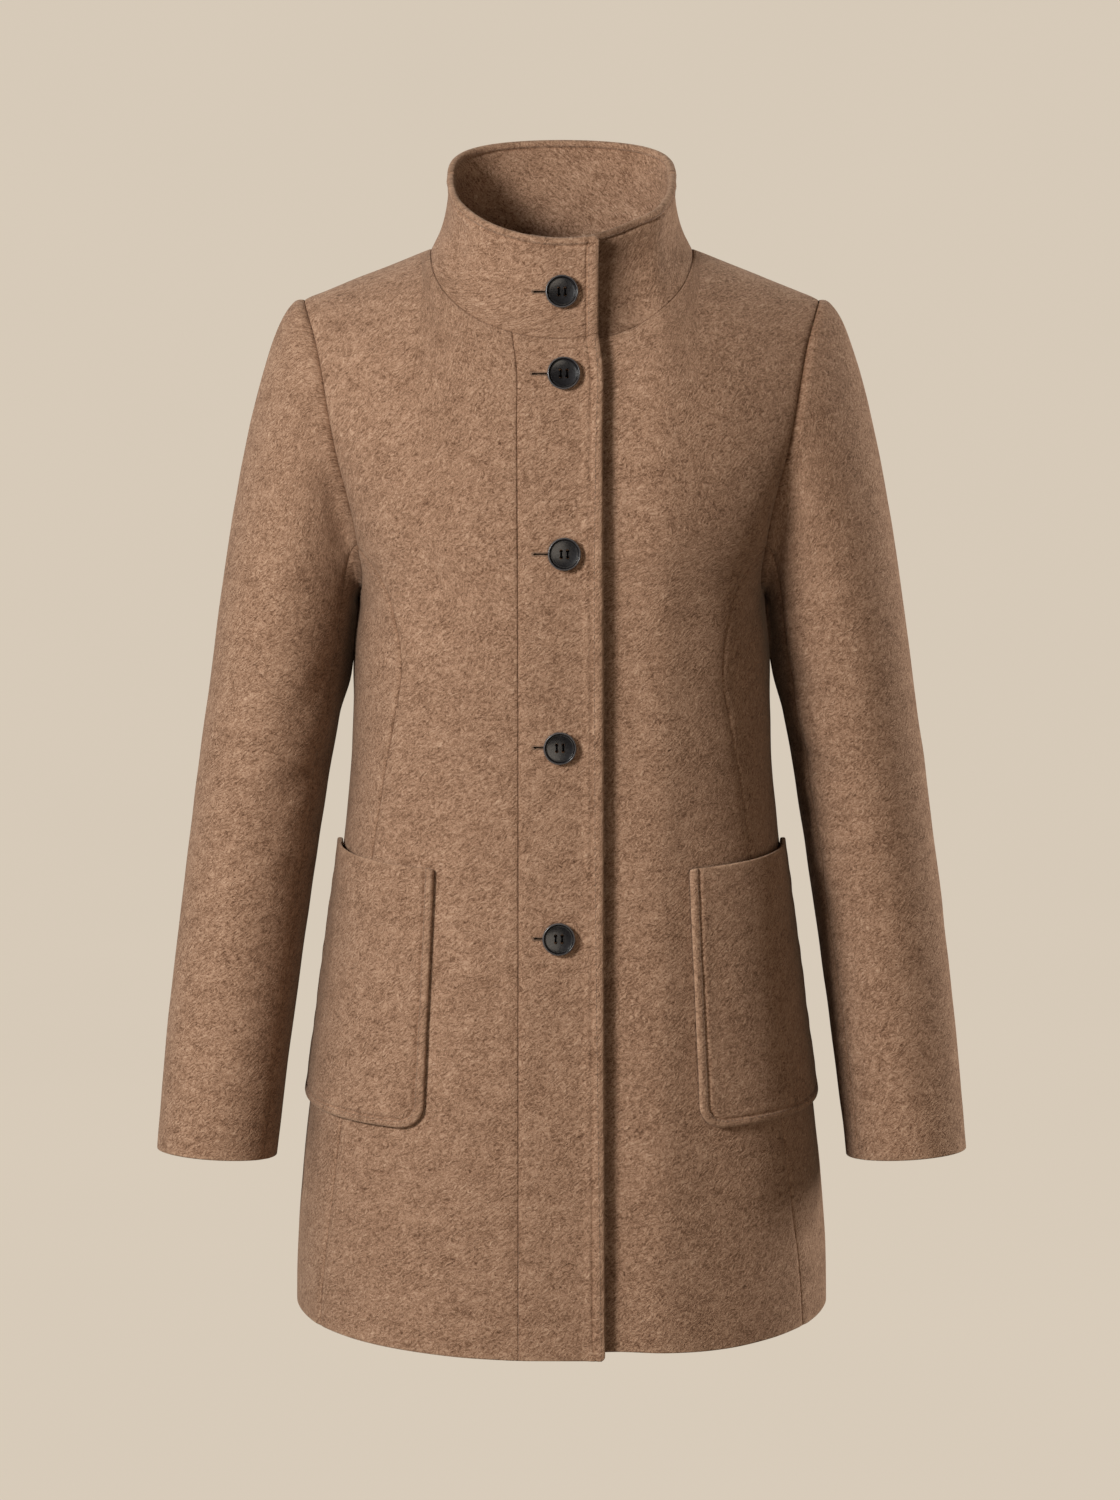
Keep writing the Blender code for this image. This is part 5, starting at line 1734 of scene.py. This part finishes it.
# %% The wool material
# share of the tone, colour
HEATHER = (
    (0.00, (0.085, 0.0410, 0.0235)),
    (0.28, (0.196, 0.1075, 0.0645)),
    (0.50, (0.315, 0.1870, 0.1200)),
    (0.72, (0.405, 0.2530, 0.1680)),
    (1.00, (0.520, 0.3550, 0.2500)),
)
TWILL_RIBS, TWILL_SLANT = 400.0, -0.72
CLOUDS = 60.0
STRANDS_SHOW = (0.44, 0.58)   # loose hairs show where the coarse fibre is between these
NAP_DEPTH = 0.0012
SHEEN_TINT = (0.95, 0.70, 0.52, 1.0)
RUB_AND_HIGHLIGHT_SHOWS = 0.16
RUBBED_AND_HIGHLIT_WOOL = (0.520, 0.350, 0.235, 1.0)
SEAM_SHADOW = (0.66, 0.58, 0.52, 1.0)
HOLLOW_SHADE = (0.10, 0.06, 0.03, 1.0)
# effect, weight in the tone, weight in the relief
TONE = {"cloud": 0.55, "coarse": 0.78, "fine": 1.30, "speck": 1.10, "rib": 0.06}
RELIEF = {"coarse": 0.9, "fine": 0.8, "speck": 0.40, "rib": 0.06}


# effect, fineness, stretch, slant, curl
FIBRES = (
    ("coarse", 330.0, 2.2, -0.70, 0.010),
    ("fine", 800.0, 2.8, -0.62, 0.008),
    ("speck", 1500.0, 1.8, 0.50, 0.004),
)
# fineness, stretch, slant, curl, weight in the tone
STRANDS = (
    (250.0, 2.6, -0.62, 0.014, 0.05),     # pale loose hairs
    (230.0, 2.2, -0.80, 0.016, -0.30),    # dark ones
)


def placed(tree, name, **inputs):
    """What a node group gives for these inputs."""
    return add_node(tree, "Group", inputs, node_tree=groups[name]).outputs


def fibres(tree, cloth, fineness, stretch, slant, curl):
    sizes = {"Fineness": fineness, "Stretch": stretch, "Slant": slant, "Curl": curl}
    return placed(tree, "felted_fibres", Cloth=cloth, **sizes)


def stored(tree, name, output="Fac"):
    """What the points of the mesh keep under this name."""
    return add_node(tree, "Attribute", attribute_name=name).outputs[output]


def weighed(tree, effects, weights, middle):
    """middle + the sum of weight * (effect - 0.5)."""
    total = middle
    for name in [name for name in effects if name in weights]:
        centred = maths(tree, "SUBTRACT", effects[name], 0.5)
        total = maths(tree, "MULTIPLY_ADD", centred, weights[name], total)
    return total


def wool_material():
    material, tree, shader = new_material("brushed_wool")
    cloth = stored(tree, "cloth", "Vector")
    twill = placed(tree, "twill_ribs", Cloth=cloth, Ribs=TWILL_RIBS, Slant=TWILL_SLANT)
    rib = maths(tree, "MULTIPLY", twill["Rib"], twill["Bare"])
    effects = {"cloud": placed(tree, "felt_clouds", Cloth=cloth, Size=CLOUDS)["Cloud"]}
    for name, *sizes in FIBRES:
        effects[name] = fibres(tree, cloth, *sizes)["Fibre"]
    tone = weighed(tree, effects, TONE, 0.5)
    shows = to_range(tree, effects["coarse"], *STRANDS_SHOW)
    for *sizes, weight in STRANDS:
        hair = maths(tree, "MULTIPLY", fibres(tree, cloth, *sizes)["Strand"], shows)
        tone = maths(tree, "MULTIPLY_ADD", hair, weight, tone)
    tone = maths(tree, "MULTIPLY_ADD", rib, TONE["rib"], tone)
    ramp = add_node(tree, "ValToRGB", {"Fac": tone})
    while len(ramp.color_ramp.elements) < len(HEATHER):
        ramp.color_ramp.elements.new(0.5)
    for element, (at, shade) in zip(ramp.color_ramp.elements, HEATHER):
        element.position = at
        element.color = (*shade, 1.0)
    colour = ramp.outputs["Color"]
    shaded = mix(tree, 1.0, colour, SEAM_SHADOW, "MULTIPLY")
    colour = mix(tree, stored(tree, "seam_shade"), colour, shaded)
    # painted highlight and wear: the wool is paler along turned edges
    rubbed_and_highlit = to_range(tree, stored(tree, "edge_rub_and_highlight"), 0.0, 1.0, 0.0, RUB_AND_HIGHLIGHT_SHOWS)
    colour = mix(tree, rubbed_and_highlit, colour, RUBBED_AND_HIGHLIT_WOOL)
    # painted shade: the hollower a place, the darker and redder its colour
    shaded = mix(tree, 1.0, colour, HOLLOW_SHADE, "MULTIPLY")
    colour = mix(tree, stored(tree, "hollow"), colour, shaded)
    relief = maths(tree, "MULTIPLY_ADD", rib, RELIEF["rib"], weighed(tree, effects, RELIEF, 0.0))
    feed(tree, shader, {
        "Base Color": colour,
        "Normal": relief_normal(tree, relief, 0.6, NAP_DEPTH),
        "Roughness": to_range(tree, effects["fine"], 0.3, 0.7, 0.99, 0.86),
        "Specular IOR Level": 0.15,
        "Sheen Weight": 0.22, "Sheen Roughness": 0.55, "Sheen Tint": SHEEN_TINT,
    })
    return material


wool = wool_material()
print("wool nodes:", len(wool.node_tree.nodes))

# %% Thread, slit and button materials
THREAD_BROWN, THREAD_DARK = (0.200, 0.124, 0.080), (0.0020, 0.0018, 0.0020)
SLIT_PAINTED_SHADE = (0.006, 0.004, 0.003)
HORN_DEEP, HORN_SMOKE = (0.0060, 0.0058, 0.0068, 1.0), (0.0140, 0.0135, 0.0160, 1.0)
PLY = (2600.0, 2.0, 0.6, 0.0004)       # fineness, stretch, slant and curl of the thread's plies
PLY_PAINTED_SHADE_AND_HIGHLIGHT = (0.62, 1.45)
HORN_RIM_HIGHLIGHT = (0.0800, 0.0740, 0.0760, 1.0)
RIM_HIGHLIGHT_FROM, RIM_HIGHLIGHT_TO = 0.0104, 0.0113    # distances from the button's middle


def thread_material(name, tone, roughness, shine):
    """Twisted thread: fine slanting plies, painted lighter on their crests and darker between them: painted
    highlight and shade.
    """
    material, tree, shader = new_material(name)
    ply = fibres(tree, object_place(tree), *PLY)["Fibre"]
    low, high = (tuple(c * share for c in tone) + (1.0,) for share in PLY_PAINTED_SHADE_AND_HIGHLIGHT)
    feed(tree, shader, {
        "Base Color": mix(tree, to_range(tree, ply, 0.36, 0.64), low, high),
        "Normal": relief_normal(tree, ply, 0.5, 0.0002),
        "Roughness": roughness, "Specular IOR Level": 2 * shine, "Sheen Weight": shine,
    })
    return material


def horn_material():
    """Polished dark resin: smoky streaks, fine turning lines and a painted highlight round the rim."""
    material, tree, shader = new_material("dark_horn_resin")
    where = object_place(tree)
    streak = maths(tree, "MULTIPLY", where, (1.0, 3.2, 1.0), kind="VectorMath")
    smoke = noise_value(tree, streak, 170.0, 4.0, Distortion=1.2)
    resin = mix(tree, to_range(tree, smoke, 0.42, 0.68), HORN_DEEP, HORN_SMOKE)
    level = maths(tree, "MULTIPLY", where, (1.0, 1.0, 0.0), kind="VectorMath")
    out = add_node(tree, "VectorMath", {0: level}, operation="LENGTH").outputs["Value"]
    rings = add_node(tree, "TexWave", {"Vector": where, "Scale": 900.0, "Distortion": 0.4},
                     wave_type="RINGS", rings_direction="Z").outputs["Fac"]
    scuff = noise_value(tree, where, 700.0, 3.0)
    relief = maths(tree, "MULTIPLY_ADD", rings, 0.35, scuff)
    # painted highlight: the rim is paler all round
    feed(tree, shader, {
        "Base Color": mix(tree, to_range(tree, out, RIM_HIGHLIGHT_FROM, RIM_HIGHLIGHT_TO), resin, HORN_RIM_HIGHLIGHT),
        "Normal": relief_normal(tree, relief, 0.04, 0.0001),
        "Roughness": to_range(tree, scuff, 0.35, 0.70, 0.26, 0.36),
        "Specular IOR Level": 0.40, "Coat Weight": 0.22, "Coat Roughness": 0.16,
    })
    return material


thread = thread_material("matched_thread", THREAD_BROWN, 0.75, 0.15)
dark_thread = thread_material("button_thread", THREAD_DARK, 0.80, 0.0)
slit_shade = thread_material("buttonhole_slit_shade", SLIT_PAINTED_SHADE, 0.95, 0.0)
horn = horn_material()
print("materials:", [m.name for m in (wool, thread, dark_thread, slit_shade, horn)])

# %% [markdown]
# ## The cloth pieces take the wool
#
# Each piece is a sheet cut from flat cloth. The table gives the width and length of the smallest
# rectangle that what shows of it was cut from.

# %% Cut sizes
# piece, or a pair's name without its side; width; length
CUTS = (
    ("front_right", 0.205, 0.855),
    ("front_left", 0.260, 0.860),
    ("side_front", 0.125, 0.605),
    ("button_band", 0.070, 0.750),
    ("back", 0.560, 0.860),
    ("sleeve_upper", 0.270, 0.650),
    ("sleeve_under", 0.125, 0.485),
    ("collar", 0.585, 0.165),
    ("pocket", 0.170, 0.200),
)


def declare_sheet(name):
    obj, outer = cloth_pieces[name], outer_faces[name]
    obj.data.materials.append(wool)
    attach(obj, "root")
    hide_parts(name)
    extras = sewn_on.get(name, [])
    for extra in extras:
        extra.data.materials.append(slit_shade if extra.name.startswith("slit") else thread)
        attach(extra, "root")


for cut, width, length in CUTS:
    for name in [cut] if cut in cloth_pieces else [f"{cut}_{label}" for _, label in SIDES]:
        declare_sheet(name)

# %% The buttons ride along, each in place of its solid
turned_button.materials.append(horn)
for node in BUTTON_NODES:
    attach(horn_buttons[node], "root")
    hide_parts(node)
    button_threads[node].data.materials.append(dark_thread)
    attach(button_threads[node], "root")
